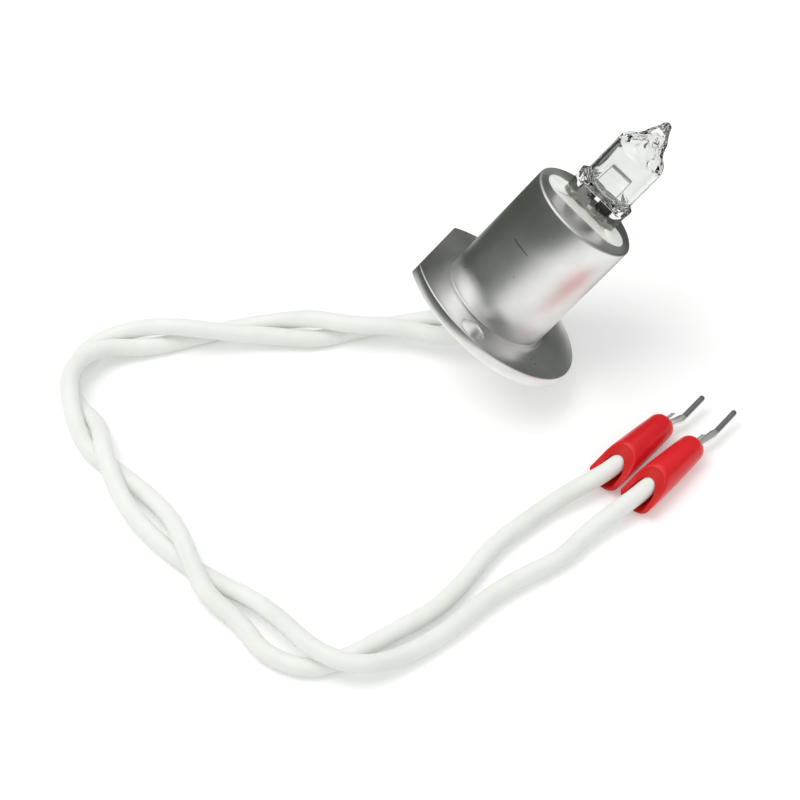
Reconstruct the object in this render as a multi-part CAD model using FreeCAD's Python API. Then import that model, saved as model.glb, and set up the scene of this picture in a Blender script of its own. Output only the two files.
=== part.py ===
import FreeCAD, Part
import math
import os

# Halogen lamp of a clinical analyzer: a turned metal holder with a keyed flange, a quartz capsule
# cemented into its end, and two white leads that end in red insulated blade terminals.
# All sizes are in millimetres. The lamp is built upright in its own axis frame, with z = 0 on the
# back of the flange, x towards the flat of the flange and z along the lamp's axis. It is then laid
# as it rests on a table: on the rim of its flange and on its stiff leads.

V = FreeCAD.Vector
os.makedirs("parts", exist_ok=True)

# How the lamp lies
TILT = 40.2            # degrees between the lamp's axis and the vertical
FLAT_BEARING = 136.5   # degrees about the axis, from the downhill side to the flat of the flange

# Each pole of the lamp runs this far from the axis: lead, splice, pin and foil
POLE_X = 2.1

# Holder: flange
FLANGE_R = 17.5
FLANGE_T = 2.25
FLANGE_CHAMFER = 0.2
FLAT_DISTANCE = 14.0   # from the axis to the flat
FLAT_CORNER_R = 0.8
HOLE_R = 2.2
HOLE_FROM_RIM = 2.9
HOLE_CHAMFER = 0.15

# Holder: tube
TUBE_R = 10.0
TUBE_L = 23.5
TUBE_CHAMFER = 0.35
RELIEF_W = 0.45        # groove in the flange's face round the foot of the tube
RELIEF_D = 0.1
BORE_R = 8.5
END_WALL = 2.4
SLOT_L = 16.8
SLOT_W = 7.4

# Ceramic block in the tube, and the cement on it
CERAMIC_CLEARANCE = 0.1
CERAMIC_L = 11.0
SEAT_DEPTH = 1.4       # how far the pinch stands in the ceramic
SEAT_CLEARANCE = 0.1
PIN_HOLE_R = 0.7
CEMENT_H = 1.7
CEMENT_MARGIN = 1.15   # how far the cement spreads round the pinch
CEMENT_SLOPE = 0.75    # how far its top edge is drawn in

# Quartz capsule, heights above the end face of the tube
BULB_R = 4.75
BULB_WALL = 0.95
PINCH_TOP = 4.0
BULB_BOTTOM = 5.8
DOME_BOTTOM = 13.7
CROWN_H = 16.6          # where the shoulder turns into the drawn-out cone
CROWN_R = 2.5
COLLAR_H = 18.2
COLLAR_R = 1.9
TIP_H = 21.1
TIP_R = 0.75
PINCH_W = 10.8
PINCH_WEB_T = 2.3
PINCH_RIDGE_T = 3.5
PINCH_RIDGE_W = 1.7
PINCH_HORN_H = 5.0     # the ridges' upper corners, beside the bulb

# Sealed parts of the capsule
FILAMENT_H = 9.2
FILAMENT_L = 4.2
COIL_R = 0.31          # to the middle of the wire
COIL_WIRE_R = 0.1
COIL_TURNS = 11
COIL_WIRE_SIDES = 8
LEG_R = 0.12
FOIL_W = 3.3
FOIL_T = 0.06
FOIL_BOTTOM = 0.7
FOIL_TOP = 3.4
SEAL_CLEARANCE = 0.02
PIN_R = 0.4

# Splices and the plug at the back of the tube
FERRULE_R = 1.15
FERRULE_FRONT_GAP = 0.1   # from the ferrule to the ceramic
FERRULE_BACK_GAP = 1.65   # from the ferrule to the plug
FERRULE_STOP = 0.2     # between the two wire ends in the ferrule
CORE_R = 0.55
JOINT_GAP = 0.02
PLUG_RECESS = 0.6
PLUG_T = 4.0
PLUG_POCKET = 2.0

# Leads
LEAD_R = 1.55
LEAD_CLEARANCE = 0.1
ARC_SHARE = 0.45       # part of the shorter run that each arc takes

# Terminals: distances run along the sleeve from the middle of its mouth
MOUTH_R = 3.1
MOUTH_ROUND = 0.6
FUNNEL_R = 2.35
FUNNEL_L = 2.2
SLEEVE_FAR_R = 2.35    # the body narrows from the mouth to this
SLEEVE_L = 16.8
SLEEVE_END_R = 1.35
SLEEVE_ROUND = 0.9
THROAT_R = 1.7
SCOOP_R = 8.8
SCOOP_Z = 8.5
SCOOP_X = -0.3
LEAD_IN = 6.0          # where the insulation ends in the sleeve
BARREL_R = 1.6
BARREL_BORE_R = 0.95
BARREL_START = 6.6
BARREL_END = 14.8
BARREL_CAP = 0.8
NECK_W = 1.35
BLADE_T = 0.8
BLADE_W = 0.9
BLADE_L = 5.2
BLADE_BEND = 10.0      # degrees, upwards
BLADE_DROP = 0.2       # middle of the neck below the sleeve's axis
STRAND_R = 0.27
STRAND_Z = 0.75
STRAND_END = 19.0

HOLE_CIRCLE_R = FLANGE_R - HOLE_FROM_RIM
END_Z = FLANGE_T + TUBE_L
CERAMIC_Z = END_Z - END_WALL - CERAMIC_L
FERRULE_TOP = CERAMIC_Z - FERRULE_FRONT_GAP
FERRULE_BOTTOM = PLUG_RECESS + PLUG_T + FERRULE_BACK_GAP
FERRULE_MIDDLE = (FERRULE_TOP + FERRULE_BOTTOM) / 2
POCKET_Z = PLUG_RECESS + PLUG_POCKET
LEG_X = FILAMENT_L / 2 + COIL_WIRE_R + LEG_R + JOINT_GAP


def to_vectors(points):
    return [V(*p) for p in points]


def cylinder(radius, z0, z1, x=0.0, y=0.0):
    return Part.makeCylinder(radius, z1 - z0, V(x, y, z0))


def box(size_x, size_y, z0, z1, x=0.0, y=0.0):
    return Part.makeBox(size_x, size_y, z1 - z0, V(x - size_x / 2, y - size_y / 2, z0))


def stadium(length, width, z0, z1):
    """Two half rounds joined by straight sides, long along x."""
    half = (length - width) / 2
    r = width / 2
    edges = [
        Part.LineSegment(V(-half, -r, z0), V(half, -r, z0)).toShape(),
        Part.Arc(V(half, -r, z0), V(half + r, 0, z0), V(half, r, z0)).toShape(),
        Part.LineSegment(V(half, r, z0), V(-half, r, z0)).toShape(),
        Part.Arc(V(-half, r, z0), V(-half - r, 0, z0), V(-half, -r, z0)).toShape(),
    ]
    return Part.Face(Part.Wire(edges)).extrude(V(0, 0, z1 - z0))


def revolve(edges):
    """Turns an outline that lies in the xz plane once round the z axis."""
    return Part.Face(Part.Wire(edges)).revolve(V(0, 0, 0), V(0, 0, 1), 360)


def line(a, b):
    return Part.LineSegment(V(a[0], 0, a[1]), V(b[0], 0, b[1])).toShape()


def arc(a, through, b):
    return Part.Arc(V(a[0], 0, a[1]), V(through[0], 0, through[1]), V(b[0], 0, b[1])).toShape()


def polyline(points):
    return [line(a, b) for a, b in zip(points, points[1:])]


# Placement of the lamp on the table
def lamp_placement():
    """Tips the upright lamp over and sets the rim of its flange on the table. The origin ends up
    under the middle of the lamp's box: the back of the rim on one side, the bulb's tip on the other."""
    tilt = math.radians(TILT)
    lift = (FLANGE_R - FLANGE_CHAMFER) * math.sin(tilt)
    reach_back = -FLANGE_R * math.cos(tilt)
    reach_tip = (END_Z + TIP_H - TIP_R) * math.sin(tilt) + TIP_R
    shift = -(reach_back + reach_tip) / 2
    turn = FreeCAD.Rotation(V(0, 1, 0), TILT).multiply(FreeCAD.Rotation(V(0, 0, 1), FLAT_BEARING))
    return FreeCAD.Placement(V(shift, 0, lift), turn)


LAMP = lamp_placement()


def lamp_holder():
    """Turned in one piece: flange, tube, bore from the back, slotted end wall."""
    c = FLANGE_CHAMFER
    body = revolve(polyline([
        (0, 0),
        (FLANGE_R - c, 0),
        (FLANGE_R, c),
        (FLANGE_R, FLANGE_T - c),
        (FLANGE_R - c, FLANGE_T),
        (TUBE_R + RELIEF_W + RELIEF_D / 2, FLANGE_T),
        (TUBE_R + RELIEF_W, FLANGE_T - RELIEF_D),
        (TUBE_R, FLANGE_T - RELIEF_D),
        (TUBE_R, END_Z - TUBE_CHAMFER),
        (TUBE_R - TUBE_CHAMFER, END_Z),
        (0, END_Z),
        (0, 0),
    ]))
    body = body.cut(cylinder(BORE_R, -1, END_Z - END_WALL))
    body = body.cut(stadium(SLOT_L, SLOT_W, END_Z - END_WALL - 1, END_Z + 1))
    chord = FLANGE_R - FLAT_DISTANCE + 1
    flat = Part.makeBox(chord, 2 * FLANGE_R, FLANGE_T + 2, V(FLAT_DISTANCE, -FLANGE_R, -1))
    body = body.cut(flat)
    corners = [e for e in body.Edges if is_flat_corner(e)]
    if corners:
        body = body.makeFillet(min(FLAT_CORNER_R, FLANGE_T / 2), corners)
    for side in (-1, 1):
        body = body.cut(flange_hole(side * HOLE_CIRCLE_R))
    return body


def is_flat_corner(edge):
    """True for the short upright edges where the flat meets the round of the flange."""
    low, high = edge.BoundBox.ZMin, edge.BoundBox.ZMax
    upright = edge.BoundBox.XLength < 0.01 and edge.BoundBox.YLength < 0.01
    tall = high - low > FLANGE_T - 2 * FLANGE_CHAMFER - 0.05
    return upright and tall and high < FLANGE_T + 0.1 and abs(edge.BoundBox.XMin - FLAT_DISTANCE) < 0.05


def flange_hole(y):
    """A plain hole with a small chamfer at both faces."""
    r = HOLE_R
    c = HOLE_CHAMFER
    outline = polyline([
        (0, -1),
        (r + c + 1, -1),
        (r + c, 0),
        (r, c),
        (r, FLANGE_T - c),
        (r + c, FLANGE_T),
        (r + c + 1, FLANGE_T + 1),
        (0, FLANGE_T + 1),
        (0, -1),
    ])
    tool = revolve(outline)
    tool.translate(V(0, y, 0))
    return tool


# Ceramic block and cement
def ceramic_block():
    """A round block in the bore with a nose that fills the slot, a seat for the pinch, pin holes."""
    gap = CERAMIC_CLEARANCE
    body = cylinder(BORE_R - gap, CERAMIC_Z, END_Z - END_WALL)
    nose = stadium(SLOT_L - 2 * gap, SLOT_W - 2 * gap, END_Z - END_WALL - 1, END_Z)
    body = body.fuse(nose.common(cylinder(BORE_R - gap, CERAMIC_Z, END_Z))).removeSplitter()
    body = body.cut(pinch_section(SEAT_CLEARANCE, END_Z - SEAT_DEPTH, END_Z + 1))
    for side in (-1, 1):
        body = body.cut(cylinder(PIN_HOLE_R, CERAMIC_Z - 1, END_Z, side * POLE_X))
    return body


def cement_fillet():
    """White cement heaped round the foot of the pinch, from a broad foot to a drawn-in top."""
    grow = CEMENT_MARGIN
    top = CEMENT_MARGIN - CEMENT_SLOPE
    foot = rounded_outline(PINCH_W + 2 * grow, PINCH_RIDGE_T + 2 * grow, 1.6, END_Z)
    head = rounded_outline(PINCH_W + 2 * top, PINCH_RIDGE_T + 2 * top, 1.0, END_Z + CEMENT_H)
    heap = Part.makeLoft([foot, head], True, True)
    return heap.cut(pinch_section(SEAL_CLEARANCE, END_Z - 1, END_Z + CEMENT_H + 1))


def rounded_outline(length, width, r, z):
    """A rectangle with round corners, as a closed wire at height z."""
    x = length / 2
    y = width / 2
    d = r * (1 - math.sqrt(0.5))
    edges = [
        Part.LineSegment(V(-x + r, -y, z), V(x - r, -y, z)).toShape(),
        Part.Arc(V(x - r, -y, z), V(x - d, -y + d, z), V(x, -y + r, z)).toShape(),
        Part.LineSegment(V(x, -y + r, z), V(x, y - r, z)).toShape(),
        Part.Arc(V(x, y - r, z), V(x - d, y - d, z), V(x - r, y, z)).toShape(),
        Part.LineSegment(V(x - r, y, z), V(-x + r, y, z)).toShape(),
        Part.Arc(V(-x + r, y, z), V(-x + d, y - d, z), V(-x, y - r, z)).toShape(),
        Part.LineSegment(V(-x, y - r, z), V(-x, -y + r, z)).toShape(),
        Part.Arc(V(-x, -y + r, z), V(-x + d, -y + d, z), V(-x + r, -y, z)).toShape(),
    ]
    return Part.Wire(edges)


# Quartz capsule
def pinch_section(grow, z0, z1):
    """The pressed seal, seen from above: a thin web between two thicker ridges."""
    x = PINCH_W / 2 + grow
    inner = PINCH_W / 2 - PINCH_RIDGE_W - grow
    ridge = PINCH_RIDGE_T / 2 + grow
    web = PINCH_WEB_T / 2 + grow
    slope = (ridge - web) * 0.8
    half = [
        (inner - slope, -web),
        (inner, -ridge),
        (x - 0.5, -ridge),
        (x, -ridge + 0.5),
        (x, ridge - 0.5),
        (x - 0.5, ridge),
        (inner, ridge),
        (inner - slope, web),
    ]
    ring = half + [(-px, -py) for px, py in half]
    points = [V(px, py, z0) for px, py in ring]
    points.append(points[0])
    return Part.Face(Part.makePolygon(points)).extrude(V(0, 0, z1 - z0))


def bulb_outside():
    """The blown body; its shoulder runs into the cone that was drawn out and melted off."""
    z = END_Z
    foot = (BULB_R * 0.6, z + PINCH_TOP - 0.25)
    heel = (BULB_R * 0.86, z + PINCH_TOP + (BULB_BOTTOM - PINCH_TOP) * 0.35)
    side = (BULB_R, z + BULB_BOTTOM)
    top = (BULB_R, z + DOME_BOTTOM)
    brow = (BULB_R * 0.84, z + DOME_BOTTOM + (CROWN_H - DOME_BOTTOM) * 0.46)
    crown = (CROWN_R, z + CROWN_H)
    collar = (COLLAR_R, z + COLLAR_H)
    tip = (TIP_R, z + TIP_H - TIP_R)
    d = TIP_R * math.sqrt(0.5)
    return revolve([
        line((0, foot[1]), foot),
        arc(foot, heel, side),
        line(side, top),
        arc(top, brow, crown),
        line(crown, collar),
        line(collar, tip),
        arc(tip, (d, tip[1] + d), (0, z + TIP_H)),
        line((0, z + TIP_H), (0, foot[1])),
    ])


def bulb_inside():
    """The gas space, which narrows towards the exhaust tip."""
    z = END_Z
    r = BULB_R - BULB_WALL
    floor = z + BULB_BOTTOM - 0.35
    top = (r, z + DOME_BOTTOM - 0.3)
    neck = (0.6, z + CROWN_H - 0.8)
    return revolve([
        line((0, floor), (r - 1.1, floor)),
        arc((r - 1.1, floor), (r - 0.3, floor + 0.35), (r, floor + 1.1)),
        line((r, floor + 1.1), top),
        arc(top, (r * 0.8, z + DOME_BOTTOM + 0.9), neck),
        line(neck, (0, neck[1])),
        line((0, neck[1]), (0, floor)),
    ])


def quartz_capsule():
    """Bulb and pinch in one piece of quartz, with room for the sealed foils, legs and pins."""
    pinch = pinch_section(0, END_Z - SEAT_DEPTH, END_Z + PINCH_TOP)
    glass = bulb_outside().fuse([pinch] + pinch_horns()).removeSplitter()
    glass = glass.cut(bulb_inside())
    gap = SEAL_CLEARANCE
    for side in (-1, 1):
        x = side * POLE_X
        glass = glass.cut(foil(side, gap))
        leg = cylinder(LEG_R + gap, END_Z + FOIL_TOP, END_Z + BULB_BOTTOM + 0.5, side * LEG_X)
        glass = glass.cut(leg)
        glass = glass.cut(cylinder(PIN_R + gap, END_Z - SEAT_DEPTH - 1, END_Z + FOIL_BOTTOM, x))
    return glass


def pinch_horns():
    """The upper corners of the ridges, pressed up beside the bulb into short points."""
    horns = []
    for side in (-1, 1):
        x0 = side * (PINCH_W / 2 - PINCH_RIDGE_W)
        x1 = side * PINCH_W / 2
        z0 = END_Z + PINCH_TOP - 0.1
        top = END_Z + PINCH_HORN_H
        points = [(x0, z0), (x1, z0), (x1, top), (side * BULB_R * 0.93, top + 0.5), (x0, top)]
        outline = [V(px, -PINCH_RIDGE_T * 0.35, pz) for px, pz in points]
        outline.append(outline[0])
        horns.append(Part.Face(Part.makePolygon(outline)).extrude(V(0, PINCH_RIDGE_T * 0.7, 0)))
    return horns


def foil(side, grow=0.0):
    """A thin leaf that carries the current through the seal."""
    width = FOIL_W + 2 * grow
    thick = FOIL_T + 2 * grow
    return box(width, thick, END_Z + FOIL_BOTTOM - grow, END_Z + FOIL_TOP + grow, side * POLE_X)


def filament_coil():
    """A close coil of fine wire that lies across the bulb."""
    pitch = FILAMENT_L / COIL_TURNS
    path = Part.makeHelix(pitch, FILAMENT_L, COIL_R)
    corners = []
    for k in range(COIL_WIRE_SIDES + 1):
        bearing = 2 * math.pi * k / COIL_WIRE_SIDES
        corners.append(V(COIL_R + COIL_WIRE_R * math.cos(bearing), 0, COIL_WIRE_R * math.sin(bearing)))
    ring = Part.makePolygon(corners)
    coil = Part.Wire(path.Edges).makePipeShell([ring], True, True)
    coil.rotate(V(0, 0, 0), V(0, 1, 0), 90)
    coil.translate(V(-FILAMENT_L / 2, 0, END_Z + FILAMENT_H))
    return coil


def filament_leg(side):
    """A straight wire from the top of the foil up to the end of the coil."""
    top = END_Z + FILAMENT_H - COIL_R + COIL_WIRE_R
    return cylinder(LEG_R, END_Z + FOIL_TOP, top, side * LEG_X)


# Inside the tube
def contact_pin(side):
    return cylinder(PIN_R, FERRULE_MIDDLE + FERRULE_STOP / 2, END_Z + FOIL_BOTTOM, side * POLE_X)


def splice_ferrule(side):
    """A short tube that joins the pin from the front to the stripped lead from the back."""
    x = side * POLE_X
    middle = FERRULE_MIDDLE
    tube = cylinder(FERRULE_R, FERRULE_BOTTOM, FERRULE_TOP, x)
    tube = tube.cut(cylinder(PIN_R + JOINT_GAP, middle, FERRULE_TOP + 1, x))
    return tube.cut(cylinder(CORE_R + JOINT_GAP, FERRULE_BOTTOM - 1, middle, x))


def lead_core(side):
    """The stripped conductor between the end of the insulation and the ferrule."""
    x = side * POLE_X
    return cylinder(CORE_R, POCKET_Z, FERRULE_MIDDLE - FERRULE_STOP / 2, x)


def rear_plug():
    """Closes the back of the bore and holds the leads, each in a pocket of its own."""
    z0 = PLUG_RECESS
    plug = cylinder(BORE_R - CERAMIC_CLEARANCE, z0, z0 + PLUG_T)
    for side in (-1, 1):
        x = side * POLE_X
        plug = plug.cut(cylinder(LEAD_R + LEAD_CLEARANCE, z0 - 1, POCKET_Z, x))
        plug = plug.cut(cylinder(CORE_R + JOINT_GAP, z0, z0 + PLUG_T + 1, x))
    return plug


# Terminals
TERMINALS = {
    "a": {"mouth": (0.95, -34.5, 3.25), "heading": 31.0, "dip": 2.0, "lead_aside": 1.7,
          "neck_end": 20.2, "neck_aside": -1.4},
    "b": {"mouth": (4.3, -40.5, 3.25), "heading": 31.5, "dip": 2.0, "lead_aside": 1.0,
          "neck_end": 21.6, "neck_aside": -0.75},
}


def terminal_placement(name):
    """The terminal is drawn along x from its mouth; it lies on the table, its far end a little lower."""
    spot = TERMINALS[name]
    turn = FreeCAD.Rotation(V(0, 0, 1), spot["heading"]).multiply(FreeCAD.Rotation(V(0, 1, 0), spot["dip"]))
    return FreeCAD.Placement(V(*spot["mouth"]), turn)


def along_x(shape):
    """Lays a shape that was turned about z along x."""
    shape.rotate(V(0, 0, 0), V(0, 1, 0), 90)
    return shape


def terminal_sleeve():
    """Moulded insulation with a thick wall: a rounded mouth, scooped open above, and a body that
    narrows to a rounded end."""
    r = MOUTH_ROUND
    e = SLEEVE_ROUND
    bend = 1 - math.sqrt(0.5)
    shoulder = SLEEVE_L - e
    waist = SLEEVE_FAR_R + (MOUTH_R - SLEEVE_FAR_R) * 0.62
    outer = [
        line((0, 0), (MOUTH_R - r, 0)),
        arc((MOUTH_R - r, 0), (MOUTH_R - r * bend, r * bend), (MOUTH_R, r)),
        line((MOUTH_R, r), (MOUTH_R, FUNNEL_L)),
        arc((MOUTH_R, FUNNEL_L), (waist, (FUNNEL_L + shoulder) / 2), (SLEEVE_FAR_R, shoulder)),
        arc((SLEEVE_FAR_R, shoulder), (SLEEVE_FAR_R - e * bend, SLEEVE_L - e * bend),
            (SLEEVE_FAR_R - e, SLEEVE_L)),
        line((SLEEVE_FAR_R - e, SLEEVE_L), (0, SLEEVE_L)),
        line((0, SLEEVE_L), (0, 0)),
    ]
    stop = BARREL_END + BARREL_CAP + 0.1
    inner = polyline([
        (0, -1),
        (FUNNEL_R, -1),
        (FUNNEL_R, 0),
        (THROAT_R, FUNNEL_L),
        (THROAT_R, stop),
        (SLEEVE_END_R, stop),
        (SLEEVE_END_R, SLEEVE_L + 1),
        (0, SLEEVE_L + 1),
        (0, -1),
    ])
    sleeve = along_x(revolve(outer).cut(revolve(inner)))
    scoop = Part.makeCylinder(SCOOP_R, 4 * MOUTH_R, V(SCOOP_X, -2 * MOUTH_R, SCOOP_Z), V(0, 1, 0))
    return sleeve.cut(scoop)


def terminal_blade(name):
    """Crimped barrel with a capped end, a flat neck that runs a little aside, and a narrow blade
    bent slightly upwards."""
    barrel = along_x(revolve(polyline([
        (BARREL_BORE_R, BARREL_START),
        (BARREL_R, BARREL_START),
        (BARREL_R, BARREL_END + BARREL_CAP),
        (0, BARREL_END + BARREL_CAP),
        (0, BARREL_END),
        (BARREL_BORE_R, BARREL_END),
        (BARREL_BORE_R, BARREL_START),
    ])))
    way_out = Part.makeCylinder(STRAND_R + JOINT_GAP, 3, V(BARREL_END - 1, 0, STRAND_Z), V(1, 0, 0))
    barrel = barrel.cut(way_out)
    z0 = -BLADE_DROP - BLADE_T / 2
    neck_start = BARREL_END + BARREL_CAP - 0.1
    neck_end = TERMINALS[name]["neck_end"]
    aside = TERMINALS[name]["neck_aside"]
    taper = neck_end - 0.5
    outline = to_vectors([
        (neck_start, -NECK_W / 2, z0),
        (taper, aside - NECK_W / 2, z0),
        (neck_end, aside - BLADE_W / 2, z0),
        (neck_end, aside + BLADE_W / 2, z0),
        (taper, aside + NECK_W / 2, z0),
        (neck_start, NECK_W / 2, z0),
        (neck_start, -NECK_W / 2, z0),
    ])
    neck = Part.Face(Part.makePolygon(outline)).extrude(V(0, 0, BLADE_T))
    tip = BLADE_W * 0.3
    x1 = neck_end + BLADE_L
    outline = to_vectors([
        (neck_end - 0.2, aside - BLADE_W / 2, z0),
        (x1 - tip, aside - BLADE_W / 2, z0),
        (x1, aside - BLADE_W / 2 + tip, z0),
        (x1, aside + BLADE_W / 2 - tip, z0),
        (x1 - tip, aside + BLADE_W / 2, z0),
        (neck_end - 0.2, aside + BLADE_W / 2, z0),
        (neck_end - 0.2, aside - BLADE_W / 2, z0),
    ])
    blade = Part.Face(Part.makePolygon(outline)).extrude(V(0, 0, BLADE_T))
    blade.rotate(V(neck_end, 0, z0), V(0, 1, 0), -BLADE_BEND)
    return barrel.fuse([neck, blade]).removeSplitter()


def conductor_end():
    """The stripped strands in the barrel, with a few of them showing past its cap."""
    x0 = LEAD_IN
    x1 = BARREL_END - JOINT_GAP
    bundle = Part.makeCylinder(BARREL_BORE_R - JOINT_GAP, x1 - x0, V(x0, 0, 0), V(1, 0, 0))
    strand = Part.makeCylinder(STRAND_R, STRAND_END - x1 + 0.5, V(x1 - 0.5, 0, STRAND_Z), V(1, 0, 0))
    return bundle.fuse(strand).removeSplitter()


# Leads: each route runs from its pocket in the plug to the inside of its sleeve. The two strands
# are twisted round each other six times on their way, and part before they reach the terminals.
ROUTES = {
    "a": [
        (-16.0, 1.5, 4.5), (-23.0, 6.0, 5.0), (-31.0, 8.0, 5.5), (-37.0, 12.0, 5.0),
        (-43.0, 16.0, 1.6), (-51.5, 16.5, 1.6), (-59.0, 16.0, 1.6), (-66.5, 16.0, 1.6),
        (-74.5, 16.5, 4.0), (-80.5, 11.5, 6.0), (-82.0, 3.5, 5.5), (-81.0, -3.5, 1.6),
        (-76.5, -10.0, 1.6), (-73.0, -16.0, 2.0), (-70.0, -23.5, 3.0), (-69.5, -31.0, 5.5),
        (-68.5, -39.5, 3.5), (-64.0, -45.0, 1.6), (-62.0, -52.5, 2.0), (-55.5, -57.5, 1.6),
        (-48.0, -56.5, 2.0), (-40.5, -54.0, 2.0), (-33.0, -51.5, 1.6), (-26.5, -47.0, 1.6),
        (-20.5, -42.0, 2.0), (-14.5, -39.2, 1.8), (-9.3, -36.8, 2.0),
    ],
    "b": [
        (-16.0, 6.0, 5.0), (-21.5, 8.5, 2.5), (-29.5, 10.0, 1.6), (-37.0, 9.5, 1.6),
        (-44.5, 12.0, 2.5), (-52.0, 13.5, 4.0), (-60.0, 15.5, 6.0), (-66.0, 19.5, 3.5),
        (-74.0, 20.0, 2.0), (-80.0, 15.0, 2.0), (-81.0, 7.0, 1.6), (-77.5, -0.5, 3.0),
        (-78.5, -8.0, 6.0), (-77.5, -16.0, 3.0), (-75.0, -23.0, 2.0), (-71.0, -30.0, 1.6),
        (-66.0, -36.5, 1.6), (-61.0, -42.5, 3.0), (-57.5, -49.5, 4.5), (-54.5, -56.5, 5.5),
        (-48.0, -60.5, 4.0), (-40.0, -59.0, 2.0), (-32.0, -56.0, 1.6), (-25.0, -52.0, 2.0),
        (-18.0, -49.5, 2.0), (-10.5, -47.6, 1.6), (-5.4, -44.3, 2.1),
    ],
}
SIDE = {"a": -1, "b": 1}
LEAD_OUT = 3.2         # straight run of a lead behind the flange
LEAD_APPROACH = 4.5    # how far before the mouth of its sleeve a lead starts to turn in
LEAD_APPROACH_Z = -0.5
LEAD_TURN = 2.0        # where it has come onto the sleeve's axis


def lead_route(name):
    """The whole route: out of the plug, along the table, into the sleeve."""
    x = SIDE[name] * POLE_X
    start = [LAMP.multVec(V(x, 0, POCKET_Z)), LAMP.multVec(V(x, 0, -LEAD_OUT))]
    spot = terminal_placement(name)
    aside = TERMINALS[name]["lead_aside"]
    finish = [V(-LEAD_APPROACH, aside, LEAD_APPROACH_Z), V(LEAD_TURN, 0, 0), V(LEAD_IN, 0, 0)]
    return start + to_vectors(ROUTES[name]) + [spot.multVec(p) for p in finish]


def lead_path(points):
    """Straight runs joined by tangent arcs. Returns the wire and the radius of every arc."""
    edges = []
    radii = []
    here = points[0]
    for before, corner, after in zip(points, points[1:], points[2:]):
        run_in = corner - before
        run_out = after - corner
        turn = run_in.getAngle(run_out)
        reach = ARC_SHARE * min(run_in.Length, run_out.Length)
        radius = reach / math.tan(turn / 2)
        into = run_in.normalize()
        out = run_out.normalize()
        first = corner - into * reach
        last = corner + out * reach
        inward = (out - into).normalize()
        middle = corner + inward * (radius / math.cos(turn / 2) - radius)
        edges.append(Part.LineSegment(here, first).toShape())
        edges.append(Part.Arc(first, middle, last).toShape())
        radii.append(radius)
        here = last
    edges.append(Part.LineSegment(here, points[-1]).toShape())
    return Part.Wire(edges), radii


def lead_wire(name):
    """A round tube of insulation along the route, with its conductor inside."""
    points = lead_route(name)
    path, radii = lead_path(points)
    start = (points[1] - points[0]).normalize()
    ring = Part.Wire([Part.makeCircle(LEAD_R, points[0], start)])
    tube = path.makePipeShell([ring], True, False)
    expected = math.pi * LEAD_R ** 2 * path.Length
    share = tube.Volume / expected
    print("lead", name, "length %.1f" % path.Length, "volume share %.4f" % share)
    print("lead", name, "arc radii", " ".join("%.1f" % r for r in radii))
    return tube


def save(node, shape, placement=None):
    if placement is not None:
        shape.Placement = placement.multiply(shape.Placement)
    solids = shape.Solids
    good = shape.isValid() and len(solids) == 1 and solids[0].Volume > 0
    print(node, "solids", len(solids), "volume %.3f" % shape.Volume, "" if good else "CHECK")
    solids[0].exportStep("parts/" + node + ".step")


save("lamp_holder", lamp_holder(), LAMP)
save("ceramic_block", ceramic_block(), LAMP)
save("cement_fillet", cement_fillet(), LAMP)
save("quartz_capsule", quartz_capsule(), LAMP)
save("filament_coil", filament_coil(), LAMP)
save("rear_plug", rear_plug(), LAMP)
for name, side in SIDE.items():
    save("filament_leg_" + name, filament_leg(side), LAMP)
    save("seal_foil_" + name, foil(side), LAMP)
    save("contact_pin_" + name, contact_pin(side), LAMP)
    save("splice_ferrule_" + name, splice_ferrule(side), LAMP)
    save("lead_core_" + name, lead_core(side), LAMP)
    save("lead_wire_" + name, lead_wire(name))
    save("terminal_sleeve_" + name, terminal_sleeve(), terminal_placement(name))
    save("terminal_blade_" + name, terminal_blade(name), terminal_placement(name))
    save("conductor_end_" + name, conductor_end(), terminal_placement(name))
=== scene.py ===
# %% [markdown]
# A halogen lamp for a laboratory analyzer, dressed for its picture.
# The lamp's solids come in already placed, in metres, as a fixed frame. This lesson sets up the
# camera and the leads first, because they decide how much of the picture the lamp fills. Then it
# makes each visible piece as a surface worked out with arrays, and gives it a finish.

# %% Load the frame
import math
import bpy
import numpy as np
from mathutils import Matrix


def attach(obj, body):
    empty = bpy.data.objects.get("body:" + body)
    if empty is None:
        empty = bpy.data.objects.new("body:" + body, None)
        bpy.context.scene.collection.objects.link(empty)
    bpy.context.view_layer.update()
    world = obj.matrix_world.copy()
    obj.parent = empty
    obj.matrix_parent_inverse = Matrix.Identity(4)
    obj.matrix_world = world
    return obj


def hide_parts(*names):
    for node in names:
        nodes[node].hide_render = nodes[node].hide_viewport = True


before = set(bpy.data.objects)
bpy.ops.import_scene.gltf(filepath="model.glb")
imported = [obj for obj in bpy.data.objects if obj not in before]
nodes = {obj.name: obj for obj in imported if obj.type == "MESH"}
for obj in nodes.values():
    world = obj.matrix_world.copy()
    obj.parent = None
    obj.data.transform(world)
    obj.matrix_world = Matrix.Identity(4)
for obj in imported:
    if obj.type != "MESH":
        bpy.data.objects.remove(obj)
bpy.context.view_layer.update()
print("pieces in the frame:", len(nodes))

# %% [markdown]
# The camera stands where the photographer stood: a little to the left of the lamp's front and
# fifty degrees above the table, with a long lens. A long lens keeps the flange's two faces nearly
# parallel in the picture, and that is how the place was found.

# %% The camera
MM = 0.001
CAMERA_PLACE = (-0.0974155, -0.2552198, 0.3083732)
CAMERA_TILT, CAMERA_HEADING = 40.0, -15.963


def placed_object(name, data):
    """An object with this data, linked into the scene."""
    made = bpy.data.objects.new(name, data)
    bpy.context.scene.collection.objects.link(made)
    return made


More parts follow.
